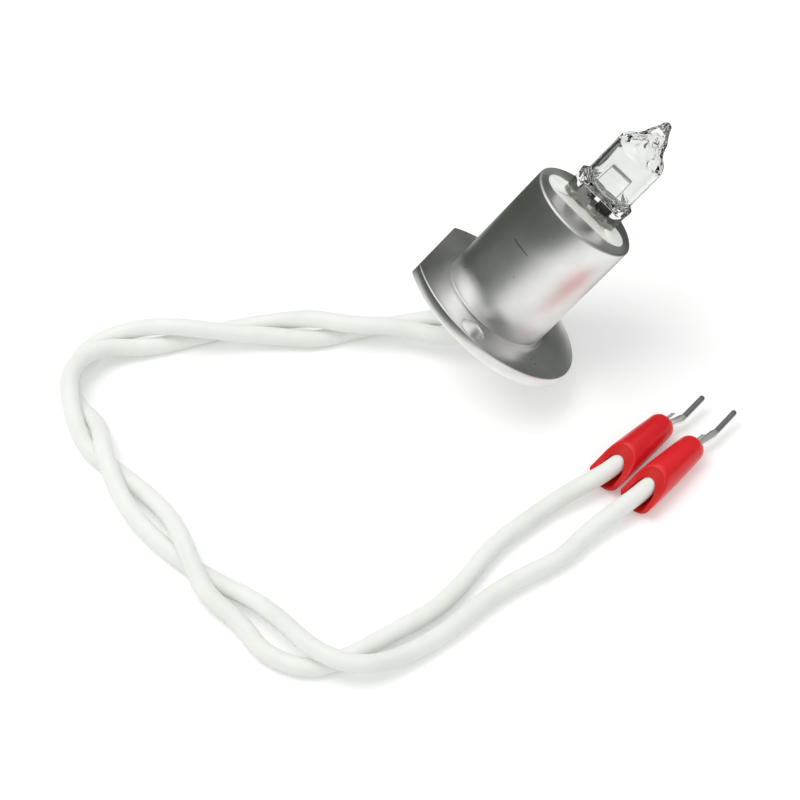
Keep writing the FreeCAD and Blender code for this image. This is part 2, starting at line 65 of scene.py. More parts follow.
camera_data = bpy.data.cameras.new("product_camera")
camera_data.sensor_width = 36.0
camera_data.lens = 104.281
camera_data.clip_start = 0.01
camera = placed_object("product_camera", camera_data)
camera.location = CAMERA_PLACE
camera.rotation_euler = (math.radians(CAMERA_TILT), 0.0, math.radians(CAMERA_HEADING))
bpy.context.scene.camera = camera
print("camera stands", round(camera.location.length * 1000), "mm from the origin")

# %% [markdown]
# The lamp head is easiest to describe upright, with its axis along z and the flat of its flange
# towards x. The next cell turns such a place, in millimetres, into its place on the table.

# %% From the upright lamp to the table
TILT, FLAT_BEARING = 40.2, 136.5
FLANGE_R, FLANGE_T, RIM_CHAMFER = 17.5, 2.25, 0.2
TUBE_R, TUBE_L = 10.0, 23.5
TIP_H, TIP_R = 21.1, 0.75
POLE_X = 2.1
END_Z = FLANGE_T + TUBE_L


def turn_about_y(degrees):
    """x' = x cos + z sin, y' = y, z' = z cos - x sin."""
    c, s = math.cos(math.radians(degrees)), math.sin(math.radians(degrees))
    return np.array([[c, 0, s], [0, 1, 0], [-s, 0, c]])


def turn_about_z(degrees):
    """x' = x cos - y sin, y' = x sin + y cos, z' = z."""
    c, s = math.cos(math.radians(degrees)), math.sin(math.radians(degrees))
    return np.array([[c, -s, 0], [s, c, 0], [0, 0, 1]])


HEAD_TURN = turn_about_y(TILT) @ turn_about_z(FLAT_BEARING)
HEAD_AXIS = HEAD_TURN[:, 2]
lean, rise = HEAD_AXIS[0], HEAD_AXIS[2]
reach_back = -FLANGE_R * rise
reach_tip = (END_Z + TIP_H - TIP_R) * lean + TIP_R
HEAD_PLACE = np.array([-(reach_back + reach_tip) / 2, 0.0, (FLANGE_R - RIM_CHAMFER) * lean])


def from_head(points):
    """Turns the upright lamp's places by the head's rotation and moves them to the table:
    place on the table = turn times place + shift, then millimetres to metres."""
    return (np.asarray(points, float) @ HEAD_TURN.T + HEAD_PLACE) * MM


print("lamp axis:", np.round(HEAD_AXIS, 3), "flange centre in mm:", np.round(HEAD_PLACE, 2))

# %% [markdown]
# Each red terminal lies on the table. It is described along x from the middle of its mouth, then
# turned to its heading, dipped a little so that its narrower far end touches the table too, and
# moved to its place.

# %% From a straight terminal to the table
TERMINALS = {
    "a": {"mouth": (0.95, -34.5, 3.25), "heading": 31.0, "dip": 2.0, "lead_aside": 1.7,
          "neck_end": 20.2, "neck_aside": -1.4},
    "b": {"mouth": (4.3, -40.5, 3.25), "heading": 31.5, "dip": 2.0, "lead_aside": 1.0,
          "neck_end": 21.6, "neck_aside": -0.75},
}


def from_terminal(name, points):
    """Dips, turns and shifts places or rings of places: heading turn times dip turn times place
    + mouth, then millimetres to metres."""
    spot = TERMINALS[name]
    turn = turn_about_z(spot["heading"]) @ turn_about_y(spot["dip"])
    points = np.asarray(points, float)
    moved = points.reshape(-1, 3) @ turn.T + np.array(spot["mouth"])
    return moved.reshape(points.shape) * MM


print("terminals:", {k: v["mouth"] for k, v in TERMINALS.items()})

# %% [markdown]
# The leads are limp silicone wires, twisted round each other. Each is one open spline of order
# three with its route's points as control points, so that the line is smooth everywhere, as a
# soft wire is, and a round bevel gives it its thickness. The points are read along the wire in
# the photograph; their heights say which strand passes over the other at each crossing.

# %% The leads
LEAD_R = 1.55
POCKET_Z, LEAD_OUT = 2.6, 3.2
LEAD_APPROACH, LEAD_APPROACH_Z, LEAD_TURN, LEAD_IN = 4.5, -0.5, 2.0, 6.0
ROUTES = {
    "a": [
        (-16.0, 1.5, 4.5), (-23.0, 6.0, 5.0), (-31.0, 8.0, 5.5), (-37.0, 12.0, 5.0),
        (-43.0, 16.0, 1.6), (-51.5, 16.5, 1.6), (-59.0, 16.0, 1.6), (-66.5, 16.0, 1.6),
        (-74.5, 16.5, 4.0), (-80.5, 11.5, 6.0), (-82.0, 3.5, 5.5), (-81.0, -3.5, 1.6),
        (-76.5, -10.0, 1.6), (-73.0, -16.0, 2.0), (-70.0, -23.5, 3.0), (-69.5, -31.0, 5.5),
        (-68.5, -39.5, 3.5), (-64.0, -45.0, 1.6), (-62.0, -52.5, 2.0), (-55.5, -57.5, 1.6),
        (-48.0, -56.5, 2.0), (-40.5, -54.0, 2.0), (-33.0, -51.5, 1.6), (-26.5, -47.0, 1.6),
        (-20.5, -42.0, 2.0), (-14.5, -39.2, 1.8), (-9.3, -36.8, 2.0),
    ],
    "b": [
        (-16.0, 6.0, 5.0), (-21.5, 8.5, 2.5), (-29.5, 10.0, 1.6), (-37.0, 9.5, 1.6),
        (-44.5, 12.0, 2.5), (-52.0, 13.5, 4.0), (-60.0, 15.5, 6.0), (-66.0, 19.5, 3.5),
        (-74.0, 20.0, 2.0), (-80.0, 15.0, 2.0), (-81.0, 7.0, 1.6), (-77.5, -0.5, 3.0),
        (-78.5, -8.0, 6.0), (-77.5, -16.0, 3.0), (-75.0, -23.0, 2.0), (-71.0, -30.0, 1.6),
        (-66.0, -36.5, 1.6), (-61.0, -42.5, 3.0), (-57.5, -49.5, 4.5), (-54.5, -56.5, 5.5),
        (-48.0, -60.5, 4.0), (-40.0, -59.0, 2.0), (-32.0, -56.0, 1.6), (-25.0, -52.0, 2.0),
        (-18.0, -49.5, 2.0), (-10.5, -47.6, 1.6), (-5.4, -44.3, 2.1),
    ],
}
SIDE = {"a": -1, "b": 1}


def lead_points(name):
    """The whole route in metres: out of the plug, along the table, into the sleeve."""
    x = SIDE[name] * POLE_X
    start = from_head([(x, 0, POCKET_Z), (x, 0, -LEAD_OUT)])
    approach = (-LEAD_APPROACH, TERMINALS[name]["lead_aside"], LEAD_APPROACH_Z)
    finish = from_terminal(name, [approach, (LEAD_TURN, 0, 0), (LEAD_IN, 0, 0)])
    return np.concatenate([start, np.array(ROUTES[name]) * MM, finish])


def lead_curve(name):
    """An open spline of order three that ends in its end points, with a round bevel."""
    points = lead_points(name)
    curve = bpy.data.curves.new("lead_" + name, "CURVE")
    curve.dimensions = "3D"
    curve.resolution_u = 10
    curve.bevel_depth = LEAD_R * MM
    curve.bevel_resolution = 7
    curve.use_fill_caps = True
    spline = curve.splines.new("NURBS")
    spline.points.add(len(points) - 1)
    spline.points.foreach_set("co", np.c_[points, np.ones(len(points))].ravel())
    spline.order_u = 3
    spline.use_endpoint_u = True
    return placed_object("lead_" + name, curve)


leads = {name: lead_curve(name) for name in SIDE}
print("points in each route:", {name: len(lead_points(name)) for name in SIDE})

# %% [markdown]
# Every other new piece is a grid of points: rings that follow each other along a profile. One
# helper turns such a grid into a closed mesh. It works out whether the faces look outwards from
# the sign of the enclosed volume, and turns them round if they don't.

# %% From a grid of rings to a mesh
def ring_faces(rows, around):
    """Quads between ring i and ring i+1, point j and point j+1, closed round each ring."""
    i, j = np.meshgrid(np.arange(rows - 1), np.arange(around), indexing="ij")
    k = (j + 1) % around
    quads = np.stack([i * around + j, i * around + k, (i + 1) * around + k, (i + 1) * around + j], -1)
    return quads.reshape(-1, 4)


def fan_faces(ring, centre, turn):
    """Triangles from a ring of point numbers to one centre point; turn says which way they look."""
    after = np.roll(ring, -1)
    fan = np.stack([ring, after, np.full(len(ring), centre)], -1)
    return fan if turn else fan[:, ::-1]


def signed_volume(points, faces):
    """A sixth of the sum of the box products of each triangle's corners."""
    a, b, c = points[faces[:, 0]], points[faces[:, 1]], points[faces[:, 2]]
    volume = np.einsum("ij,ij->i", a, np.cross(b, c)).sum() / 6
    if faces.shape[1] == 4:
        d = points[faces[:, 3]]
        volume += np.einsum("ij,ij->i", a, np.cross(c, d)).sum() / 6
    return volume


def shell(rings, closed_along=False):
    """Points and faces of a closed shell. rings has the shape (rows, around, 3). The first and the
    last ring are closed by a fan to their middle, or joined to each other if closed_along."""
    rings = np.asarray(rings, float)
    rows, around = rings.shape[:2]
    points = rings.reshape(-1, 3)
    quads = ring_faces(rows, around)
    if closed_along:
        last = np.arange(around) + (rows - 1) * around
        first = np.arange(around)
        seam = np.stack([last, np.roll(last, -1), np.roll(first, -1), first], -1)
        quads = np.concatenate([quads, seam])
        fans = np.zeros((0, 3), int)
    else:
        middles = np.stack([rings[0].mean(0), rings[-1].mean(0)])
        start, end = len(points), len(points) + 1
        points = np.concatenate([points, middles])
        fans = np.concatenate([fan_faces(np.arange(around), start, False),
                               fan_faces(np.arange(around) + (rows - 1) * around, end, True)])
    if signed_volume(points, quads) + signed_volume(points, fans) < 0:
        quads, fans = quads[:, ::-1], fans[:, ::-1]
    return points, quads, fans


def mesh_object(name, points, faces):
    """An object with a mesh of these points and faces."""
    mesh = bpy.data.meshes.new(name)
    mesh.from_pydata(points.tolist(), [], faces)
    return placed_object(name, mesh)


def shade(mesh, sharp):
    """Smooth shading that breaks where faces meet at more than sharp degrees."""
    mesh.polygons.foreach_set("use_smooth", np.ones(len(mesh.polygons), bool))
    mesh.set_sharp_from_angle(angle=math.radians(sharp))
    mesh.update()


def piece(name, shells, sharp=35.0):
    """One object from several shells. A shell that bounds a hollow comes in as (points, quads,
    fans, True), and its faces are turned round so that they look into the hollow."""
    all_points, all_faces = [], []
    first = 0
    for points, quads, fans, *hollow in shells:
        if hollow:
            quads, fans = quads[:, ::-1], fans[:, ::-1]
        all_points.append(points)
        all_faces += (quads + first).tolist() + (fans + first).tolist()
        first += len(points)
    made = mesh_object(name, np.concatenate(all_points), all_faces)
    shade(made.data, sharp)
    return made


def mark_points(made, layer, values):
    """Stores one number for each point, for a finish to read."""
    marks = made.data.attributes.new(layer, "FLOAT", "POINT")
    marks.data.foreach_set("value", np.asarray(values, np.float32))


def revolved(profile, around=192):
    """Carries a profile of (radius, height) pairs round the z axis: x = r cos a, y = r sin a."""
    profile = np.asarray(profile, float)
    a = np.linspace(0, 2 * np.pi, around, endpoint=False)
    r, z = profile[:, :1], profile[:, 1:2]
    return np.stack([r * np.cos(a), r * np.sin(a), np.broadcast_to(z, (len(profile), around))], -1)


print("helpers ready")

# %% [markdown]
# The holder is turned from one bar: a flange and a tube. Its outline in the (radius, height) plane
# is carried round the axis. Where the flange's flat is, the radius is held back to the flat's
# distance divided by the cosine of the bearing, with the corner eased a little. The bolt holes and
# the slot for the ceramic don't follow that outline, so they are cut afterwards.

# %% The holder's outline
FLAT_DISTANCE = 14.0
RELIEF_W, RELIEF_D = 0.45, 0.1
TUBE_CHAMFER = 0.35
BORE_R, END_WALL = 8.5, 2.4
EDGE_EASE, FLAT_EASE = 0.07, 0.25
AROUND_HOLDER = 360


def eased_min(a, b, ease):
    """The smaller of two values, with the corner between them rounded over the width ease."""
    h = np.clip(0.5 + 0.5 * (b - a) / ease, 0, 1)
    return b * (1 - h) + a * h - ease * h * (1 - h)


def holder_rings():
    """The turned outline from the bore's floor round the flange and the tube to the slot's middle."""
    c, soft, less = RIM_CHAMFER, EDGE_EASE, EDGE_EASE * 0.6
    outline = [
        (0.4, END_Z - END_WALL), (4.0, END_Z - END_WALL),
        (BORE_R, END_Z - END_WALL), (BORE_R, 12.0), (BORE_R, 0.12), (BORE_R + 0.12, 0.0),
        (12.0, 0.0), (14.5, 0.0), (FLANGE_R - c - soft, 0.0), (FLANGE_R - c + soft, less),
        (FLANGE_R - less, c - soft), (FLANGE_R, c + soft), (FLANGE_R, FLANGE_T - c - soft),
        (FLANGE_R - less, FLANGE_T - c + soft), (FLANGE_R - c + soft, FLANGE_T - less),
        (FLANGE_R - c - soft, FLANGE_T), (14.5, FLANGE_T), (12.0, FLANGE_T),
        (TUBE_R + RELIEF_W + 0.1, FLANGE_T), (TUBE_R + RELIEF_W, FLANGE_T - 0.04),
        (TUBE_R + RELIEF_W, FLANGE_T - RELIEF_D + 0.03),
        (TUBE_R + RELIEF_W - 0.04, FLANGE_T - RELIEF_D),
        (TUBE_R + 0.05, FLANGE_T - RELIEF_D), (TUBE_R, FLANGE_T - RELIEF_D + 0.05), (TUBE_R, 4.0),
        (TUBE_R, 10.0), (TUBE_R, 18.0), (TUBE_R, END_Z - TUBE_CHAMFER - soft),
        (TUBE_R - less, END_Z - TUBE_CHAMFER + soft), (TUBE_R - TUBE_CHAMFER + soft, END_Z - less),
        (TUBE_R - TUBE_CHAMFER - soft, END_Z), (9.0, END_Z), (4.0, END_Z), (0.4, END_Z),
    ]
    rings = revolved(outline, AROUND_HOLDER)
    radius = np.linalg.norm(rings[..., :2], axis=-1)
    across = rings[..., 0] / np.maximum(radius, 1e-6)
    limit = np.where(across > 0.3, FLAT_DISTANCE / np.maximum(across, 0.3), 1e3)
    held = np.where(radius > FLAT_DISTANCE - 0.1, eased_min(radius, limit, FLAT_EASE), radius)
    rings[..., :2] *= (held / np.maximum(radius, 1e-6))[..., None]
    return rings


print("rings in the holder's outline:", len(holder_rings()))

# %% [markdown]
# A Boolean modifier takes the two bolt holes and the round-ended slot out of the turned shape. Its
# result is kept as the mesh, and the cutters are thrown away.

# %% Cut the holes and the slot
HOLE_R, HOLE_CIRCLE_R, HOLE_CHAMFER = 2.2, 14.6, 0.15
SLOT_L, SLOT_W = 16.8, 7.4


def stadium_ring(length, width, around=128):
    """A round-ended outline: a circle whose two halves are pulled apart along x."""
    a = np.linspace(0, 2 * np.pi, around, endpoint=False) + np.pi / around
    r = width / 2
    pull = np.sign(np.cos(a)) * (length - width) / 2
    return np.stack([r * np.cos(a) + pull, r * np.sin(a)], -1)


def cutters():
    """Two bolt holes as spools that leave a chamfer at both ends, and the slot's plug."""
    r, c, t = HOLE_R, HOLE_CHAMFER, FLANGE_T
    spool = [(r + c + 1, -1), (r + c, 0), (r, c), (r, t - c), (r + c, t), (r + c + 1, t + 1)]
    shells = [shell(revolved(spool, 72) + [0, side * HOLE_CIRCLE_R, 0]) for side in (-1, 1)]
    outline = stadium_ring(SLOT_L, SLOT_W)
    heights = (END_Z - END_WALL - 1, END_Z + 1)
    slot = np.stack([np.c_[outline, np.full(len(outline), z)] for z in heights])
    return shells + [shell(slot)]


def cut(target, tools):
    """Takes the tools' volume out of the target and keeps the result as its mesh."""
    cutter = piece("cutter", tools)
    modifier = target.modifiers.new("cut", "BOOLEAN")
    modifier.operation = "DIFFERENCE"
    modifier.solver = "EXACT"
    modifier.object = cutter
    bpy.context.view_layer.update()
    done = bpy.data.meshes.new_from_object(target.evaluated_get(bpy.context.evaluated_depsgraph_get()))
    target.modifiers.remove(modifier)
    target.data = done
    bpy.data.objects.remove(cutter)
    shade(done, 32.0)
    return target


def to_table_mesh(made):
    """Moves an upright piece's points to the table, as whole arrays."""
    points = np.zeros(len(made.data.vertices) * 3)
    made.data.vertices.foreach_get("co", points)
    made.data.vertices.foreach_set("co", from_head(points.reshape(-1, 3)).ravel())
    made.data.update()
    return made


holder = piece("holder", [shell(holder_rings())])
holder = to_table_mesh(cut(holder, cutters()))
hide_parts("lamp_holder")
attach(holder, "root")
print("holder faces:", len(holder.data.polygons))

# %% [markdown]
# White refractory cement fills the slot and climbs the foot of the capsule's pinch. It is a sheet
# between two outlines, the pinch's and the slot's. Its height falls from the pinch to the slot,
# and a few slow waves make it uneven, as a paste that was pressed in by hand.

# %% The pinch's outline and the cement
PINCH_W, RIDGE_T, WEB_T, RIDGE_W = 10.8, 3.5, 2.3, 1.7
CEMENT_DEPTH = 0.8


def even_steps(corners, count):
    """Points at even distances round a closed outline of corners."""
    loop = np.vstack([corners, corners[:1]])
    run = np.r_[0, np.cumsum(np.linalg.norm(np.diff(loop, axis=0), axis=1))]
    at = np.linspace(0, run[-1], count, endpoint=False)
    return np.stack([np.interp(at, run, loop[:, k]) for k in (0, 1)], -1)


def smooth_step(value, start, end):
    """0 below start, 1 above end, and a smooth climb between them: 3t2 - 2t3."""
    t = np.clip((value - start) / (end - start), 0, 1)
    return t * t * (3 - 2 * t)


def softened(outline, reach):
    """Each point becomes the mean of its neighbours within reach steps, which rounds the corners."""
    shifts = range(-reach, reach + 1)
    return np.mean([np.roll(outline, k, axis=0) for k in shifts], axis=0)


def pinch_outline(count=256, grow=0.0, soft=3):
    """The pressed seal from above: a thin web between two thicker ridges."""
    x = PINCH_W / 2 + grow
    inner = PINCH_W / 2 - RIDGE_W - grow
    ridge, web = RIDGE_T / 2 + grow, WEB_T / 2 + grow
    half = np.array([
        (x, 0), (x, ridge - 0.5), (x - 0.5, ridge), (inner, ridge), (inner - 0.5, web), (0, web),
        (-inner + 0.5, web), (-inner, ridge), (-x + 0.5, ridge), (-x, ridge - 0.5)])
    corners = np.vstack([half, -half])
    return softened(even_steps(corners, count), soft)


def uneven(x, y, size, seed):
    """A few slow waves in different directions added up: between about -1 and 1."""
    total = np.zeros_like(x)
    for k in range(5):
        bearing = seed + 2.4 * k
        pitch = size * (0.6 + 0.27 * k)
        along = x * math.cos(bearing) + y * math.sin(bearing)
        total = total + np.sin(along * 2 * math.pi / pitch + seed * (k + 1))
    return total / 3.2


def cement_rings(count=256):
    """Rings from the pinch's outline, drawn in by 0.12 mm so that no gap shows, out to the slot's.
    Both outlines are matched by their bearing, and the height falls as (1 - t) to the power 1.5."""
    inner = pinch_outline(count, grow=-0.12)
    outer = stadium_ring(SLOT_L - 0.04, SLOT_W - 0.04, count)
    bearing_in = np.arctan2(inner[:, 1] * 2.4, inner[:, 0])
    bearing_out = np.arctan2(outer[:, 1] * 2.0, outer[:, 0])
    order = np.argsort(bearing_out)
    whole = np.concatenate([bearing_out[order] + turns * 2 * np.pi for turns in (-1, 0, 1)])
    outer = np.stack([np.interp(bearing_in, whole, np.tile(outer[order, k], 3)) for k in (0, 1)], -1)
    bead = 0.3 + 0.75 * smooth_step(np.abs(inner[:, 0]), 3.0, PINCH_W / 2)
    rings = []
    for t in np.linspace(0, 1, 26):
        flat = inner * (1 - t) + outer * t
        height = 0.05 + bead * (1 - t) ** 1.5 * (1 + 0.2 * uneven(*flat.T, 4.5, 0.7))
        height += 0.05 * uneven(*flat.T, 1.7, 2.1) * (1 - t ** 6)
        rings.append(np.c_[flat, END_Z + height])
    for edge in (outer, inner):
        rings.append(np.c_[edge, np.full(count, END_Z - CEMENT_DEPTH)])
    return np.array(rings)


cement = to_table_mesh(piece("cement", [shell(cement_rings(), closed_along=True)], sharp=60))
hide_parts("cement_fillet")
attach(cement, "root")
print("cement faces:", len(cement.data.polygons))

# %% [markdown]
# The capsule is one piece of quartz. Its outside is a single surface that starts as the pinch's
# flat outline and swells into the round bulb, then closes in a shoulder and is drawn out into a
# cone where the tube was melted off. The web swells at once above the pinch, but its two ridges
# are held back a little longer and end in short horns beside the bulb. Hot quartz never closes
# evenly, so the shoulder and the tip carry folds: slow waves round the axis that fade out on the
# bulb's plain wall. The gas space is a second surface inside. It follows the outside: it narrows
# under the crown and runs up into the tip, with wrinkles of its own. Both surfaces are closed,
# because glass only bends light properly between two skins.

# %% The quartz capsule
PINCH_TOP, BULB_BOTTOM, DOME_BOTTOM, HORN_H = 4.0, 5.8, 13.7, 5.4
SEAT, NECK_H, TIP_ROUND = 1.4, 17.0, 0.6
CROWN = np.array([
    (-9.0, 4.75), (13.6, 4.75), (14.4, 4.52), (15.1, 3.97), (15.8, 3.28), (16.4, 2.72), (17.0, 2.35),
    (17.6, 2.1), (18.3, 1.85), (19.2, 1.38), (20.0, 0.98), (20.7, 0.74), (21.5, 0.7)])
HOLLOW = np.array([
    (4.75, 0.02), (4.85, 1.2), (5.0, 2.0), (5.2, 2.75), (5.5, 3.4), (5.9, 3.85), (6.5, 4.1),
    (13.7, 4.1), (14.0, 3.9), (14.2, 3.5), (14.6, 3.15), (15.1, 2.6), (15.8, 2.0), (16.4, 1.55),
    (17.0, 1.2), (17.6, 0.9), (18.2, 0.55), (18.5, 0.02)])
HOLLOW_LOW, HOLLOW_HIGH = 4.8, 18.4
FOLDS = [(0.04, 3, 0.9, 0), (0.04, 5, -0.8, 1.0), (0.03, 2, 1.9, 0), (0.026, 7, 2.2, 1.3),
         (0.02, 9, -2.6, 0)]
WRINKLES = [(0.07, 4, 1.3, 0), (0.06, 7, -2.1, 0), (0.05, 2, 3.4, 0), (0.04, 10, 2.7, 0)]


def soft_table(h, table, reach):
    """Reads a table of (height, radius) with its corners rounded: the mean of the straight
    reading at nine heights between h - reach and h + reach."""
    steps = np.linspace(-reach, reach, 9)
    return np.mean([np.interp(h + d, table[:, 0], table[:, 1]) for d in steps], axis=0)


def waves(bearing, h, rows):
    """Adds up size times sin(count * bearing + climb * height + start) over the rows."""
    total = 0
    for size, count, climb, start in rows:
        total = total + size * np.sin(count * bearing + climb * h + start)
    return total


def outer_radius(h):
    """Radius of the blown part at height h above the tube's end, with a round end at the tip."""
    past = np.clip(h - (TIP_H - TIP_ROUND), 0, TIP_ROUND) / TIP_ROUND
    return soft_table(h, CROWN, 0.3) * np.sqrt(np.clip(1 - past ** 2, 0.0004, 1))


def capsule_outside(count=320):
    """Each ring is a mix of the pinch's outline and a circle with folds. blown says how far the
    web has swelled at this height, held how far the ridges have, lip and horn thicken the pinch's
    upper edge, and the tip leans a little."""
    flat = pinch_outline(count, soft=2)
    web_end = PINCH_W / 2 - RIDGE_W
    full = np.where(np.abs(flat[:, 0]) < web_end, np.sign(flat[:, 1]) * RIDGE_T / 2, flat[:, 1])
    bearing = np.arctan2(full / RIDGE_T, flat[:, 0] / PINCH_W)
    ridge = smooth_step(np.abs(flat[:, 0]), web_end, PINCH_W / 2 - 0.6)
    low = np.linspace(-SEAT, PINCH_TOP - 0.3, 10)
    swell = np.linspace(PINCH_TOP - 0.2, BULB_BOTTOM + 0.3, 44)
    wall = np.linspace(BULB_BOTTOM + 0.6, DOME_BOTTOM - 0.6, 12)
    dome = np.linspace(DOME_BOTTOM - 0.4, NECK_H, 60)
    tip = TIP_H - 0.003 - (TIP_H - 0.1 - NECK_H) * (1 - np.linspace(0, 1, 44)) ** 1.5
    rings = []
    for h in np.concatenate([low, swell, wall, dome[:-1], tip]):
        climbed = np.clip((h - PINCH_TOP + 0.1) / (BULB_BOTTOM - PINCH_TOP + 0.1), 0, 1)
        blown = 1 - (1 - climbed) ** 2.4
        held = smooth_step(h, HORN_H - 0.25, HORN_H + 0.35)
        round_part = (blown * (1 - ridge) + held * ridge)[:, None]
        lip = math.exp(-((h - PINCH_TOP + 0.25) / 0.22) ** 2) * (1 - ridge)
        horn = 0.04 * smooth_step(h, PINCH_TOP, HORN_H) * ridge
        pinch = flat * np.stack([1 + horn, 1 + 0.22 * lip - 6 * horn], -1)
        folds = smooth_step(h, DOME_BOTTOM - 0.2, DOME_BOTTOM + 1.6)
        folds = folds * (1 - 0.6 * smooth_step(h, 18.5, 20.5))
        r = outer_radius(h) * (1 + folds * waves(bearing, h, FOLDS))
        swollen = r[:, None] * np.stack([np.cos(bearing), np.sin(bearing)], -1)
        lean = smooth_step(h, 15.5, TIP_H) * np.array([0.25, 0.0])
        flat_ring = pinch * (1 - round_part) + swollen * round_part + lean
        rings.append(np.c_[flat_ring, np.full(count, END_Z + h)])
    return np.array(rings)


def capsule_inside(count=192):
    """The gas space: round rings with a rounded bottom and wrinkles from the shoulder upwards."""
    a = np.linspace(0, 2 * np.pi, count, endpoint=False)
    climb = 0.5 - 0.5 * np.cos(np.linspace(0.0, np.pi, 90))
    rings = []
    for h in HOLLOW_LOW + (HOLLOW_HIGH - HOLLOW_LOW) * climb:
        wrinkle = smooth_step(h, DOME_BOTTOM - 0.4, DOME_BOTTOM + 1.4)
        r = soft_table(h, HOLLOW, 0.15) * (1 + wrinkle * waves(a, h, WRINKLES))
        rings.append(np.c_[r * np.cos(a), r * np.sin(a), np.full(count, END_Z + h)])
    return np.array(rings)


outside, inside = shell(capsule_outside()), shell(capsule_inside())
capsule = to_table_mesh(piece("capsule", [outside, (*inside, True)], sharp=75))
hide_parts("quartz_capsule")
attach(capsule, "root")
print("capsule faces:", len(capsule.data.polygons))

# %% [markdown]
# The filament is a close coil of tungsten that lies across the bulb. Its centre line is a helix,
# x = pitch times turns, with a circle in the other two directions; a small ring of points is
# carried along it. Each end is held by a thin leg that stands on a foil in the pinch.

# %% The filament
FILAMENT_H, FILAMENT_L = 9.2, 4.2
COIL_R, COIL_WIRE_R, COIL_TURNS = 0.3, 0.05, 19
LEG_R, FOIL_TOP = 0.06, 3.4


def swept(path, radius, around=10):
    """Rings round a path. The two side directions come from one fixed direction, made square to
    the path at every point, so that the tube doesn't twist."""
    path = np.asarray(path, float)
    along = np.gradient(path, axis=0)
    along /= np.linalg.norm(along, axis=1, keepdims=True)
    fixed = np.array([0.13, 0.97, 0.21])
    side = fixed - along * (along @ fixed)[:, None]
    side /= np.linalg.norm(side, axis=1, keepdims=True)
    other = np.cross(along, side)
    a = np.linspace(0, 2 * np.pi, around, endpoint=False)
    radius = np.broadcast_to(radius, len(path))[:, None, None]
    ring = side[:, None] * np.cos(a)[None, :, None] + other[:, None] * np.sin(a)[None, :, None]
    return path[:, None] + ring * radius


def filament_path():
    """The helix: x = pitch times turns, y = r sin, z = height - r cos."""
    turn = np.linspace(0, COIL_TURNS * 2 * np.pi, COIL_TURNS * 20)
    x = (turn / turn[-1] - 0.5) * FILAMENT_L
    return np.stack([x, COIL_R * np.sin(turn), END_Z + FILAMENT_H - COIL_R * np.cos(turn)], -1)


def leg_path(side, spread):
    """From inside the foil's upper edge up to the coil's end; spread moves the foot outwards."""
    x = side * FILAMENT_L / 2
    corners = np.array([(x + side * spread, 0, FOIL_TOP + 0.05), (x + side * spread * 0.5, 0, 6.2),
                        (x, 0, FILAMENT_H - COIL_R - 0.1), (x, 0, FILAMENT_H - COIL_R + 0.25)])
    at = np.linspace(0, 3, 40)
    path = np.stack([np.interp(at, range(4), corners[:, k]) for k in range(3)], -1)
    return path + np.array([0, 0, END_Z])


coil = shell(swept(filament_path(), COIL_WIRE_R, 8))
filament = to_table_mesh(piece("filament", [coil], sharp=80))
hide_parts("filament_coil")
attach(filament, "root")
legs = {}
for name, spread in (("a", 0.05), ("b", 0.3)):
    rings = swept(leg_path(SIDE[name], spread), LEG_R, 12)
    legs[name] = to_table_mesh(piece("leg_" + name, [shell(rings)], sharp=60))
    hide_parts("filament_leg_" + name)
    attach(legs[name], "root")
wire_length = np.linalg.norm(np.diff(filament_path(), axis=0), axis=1).sum()
print("filament wire length in mm:", round(float(wire_length), 1))

# %% [markdown]
# Each red sleeve is moulded plastic with a thick wall. Seen along its axis it is round, and it
# narrows from the mouth to the far end. The upper half of its mouth is scooped away by a round
# cut across it, so that the lead lies in view in the open half. The front of the wall is
# therefore not a flat ring: how far back it stands depends on the height, and it is never further
# forward than the rounded mouth. Each bearing round the axis gets its own profile, from the small
# hole at the far end along the body, over the rounded edge, across the cut and down the bore.

# %% The red sleeves
MOUTH_R, MOUTH_ROUND, FUNNEL_R, FUNNEL_L, THROAT_R = 3.1, 0.6, 2.35, 2.2, 1.7
SLEEVE_FAR_R, SLEEVE_L, SLEEVE_END_R, SLEEVE_ROUND = 2.35, 16.8, 1.35, 0.9
SCOOP_R, SCOOP_Z, SCOOP_X = 8.8, 8.5, -0.3
FAR_ROUND_L, FAR_ROUND_R = 1.8, 1.05
BORE_START = SLEEVE_L - 9.6
BARREL_R, BARREL_BORE_R, BARREL_START, BARREL_END, BARREL_CAP = 1.6, 0.95, 6.6, 14.8, 0.8


def outer_at(s):
    """Radius of the outside: straight near the mouth, then narrowing a little faster and faster."""
    t = np.clip((s - FUNNEL_L) / (SLEEVE_L - SLEEVE_ROUND - FUNNEL_L), 0, 1)
    return MOUTH_R - (MOUTH_R - SLEEVE_FAR_R) * (0.52 * t + 0.48 * t * t)


def inner_at(s):
    """Radius of the inside: a long funnel and then the bore."""
    return np.interp(s, [0, 2.0, 3.9, 4.7], [FUNNEL_R + 0.05, 2.1, 1.7, THROAT_R - 0.06])


def front_at(r, bearing):
    """How far back the front of the wall stands: the scoop's cylinder, s = axis + root of (radius
    squared minus the height difference squared), or the rounded mouth, whichever is further. The
    cut runs out into the funnel, so towards the bore it is drawn forward a little."""
    height = r * np.cos(bearing)
    scoop = SCOOP_X + np.sqrt(np.clip(SCOOP_R ** 2 - (height - SCOOP_Z) ** 2, 0, None))
    scoop = scoop - 0.8 * np.clip((2.7 - r) / 1.05, 0, 1) * smooth_step(scoop, 2.0, 4.5)
    over = np.clip(r - (MOUTH_R - MOUTH_ROUND), 0, MOUTH_ROUND)
    mouth = MOUTH_ROUND - np.sqrt(MOUTH_ROUND ** 2 - over ** 2)
    return -eased_min(-scoop, -mouth, 0.25)


def rim_at(bearing):
    """The outer and the inner edge of the front, each found by a few rounds of trial."""
    outer, inner = np.full_like(bearing, MOUTH_ROUND), np.zeros_like(bearing)
    for _ in range(6):
        outer = front_at(outer_at(outer), bearing)
        inner = front_at(inner_at(inner), bearing)
    return outer, inner


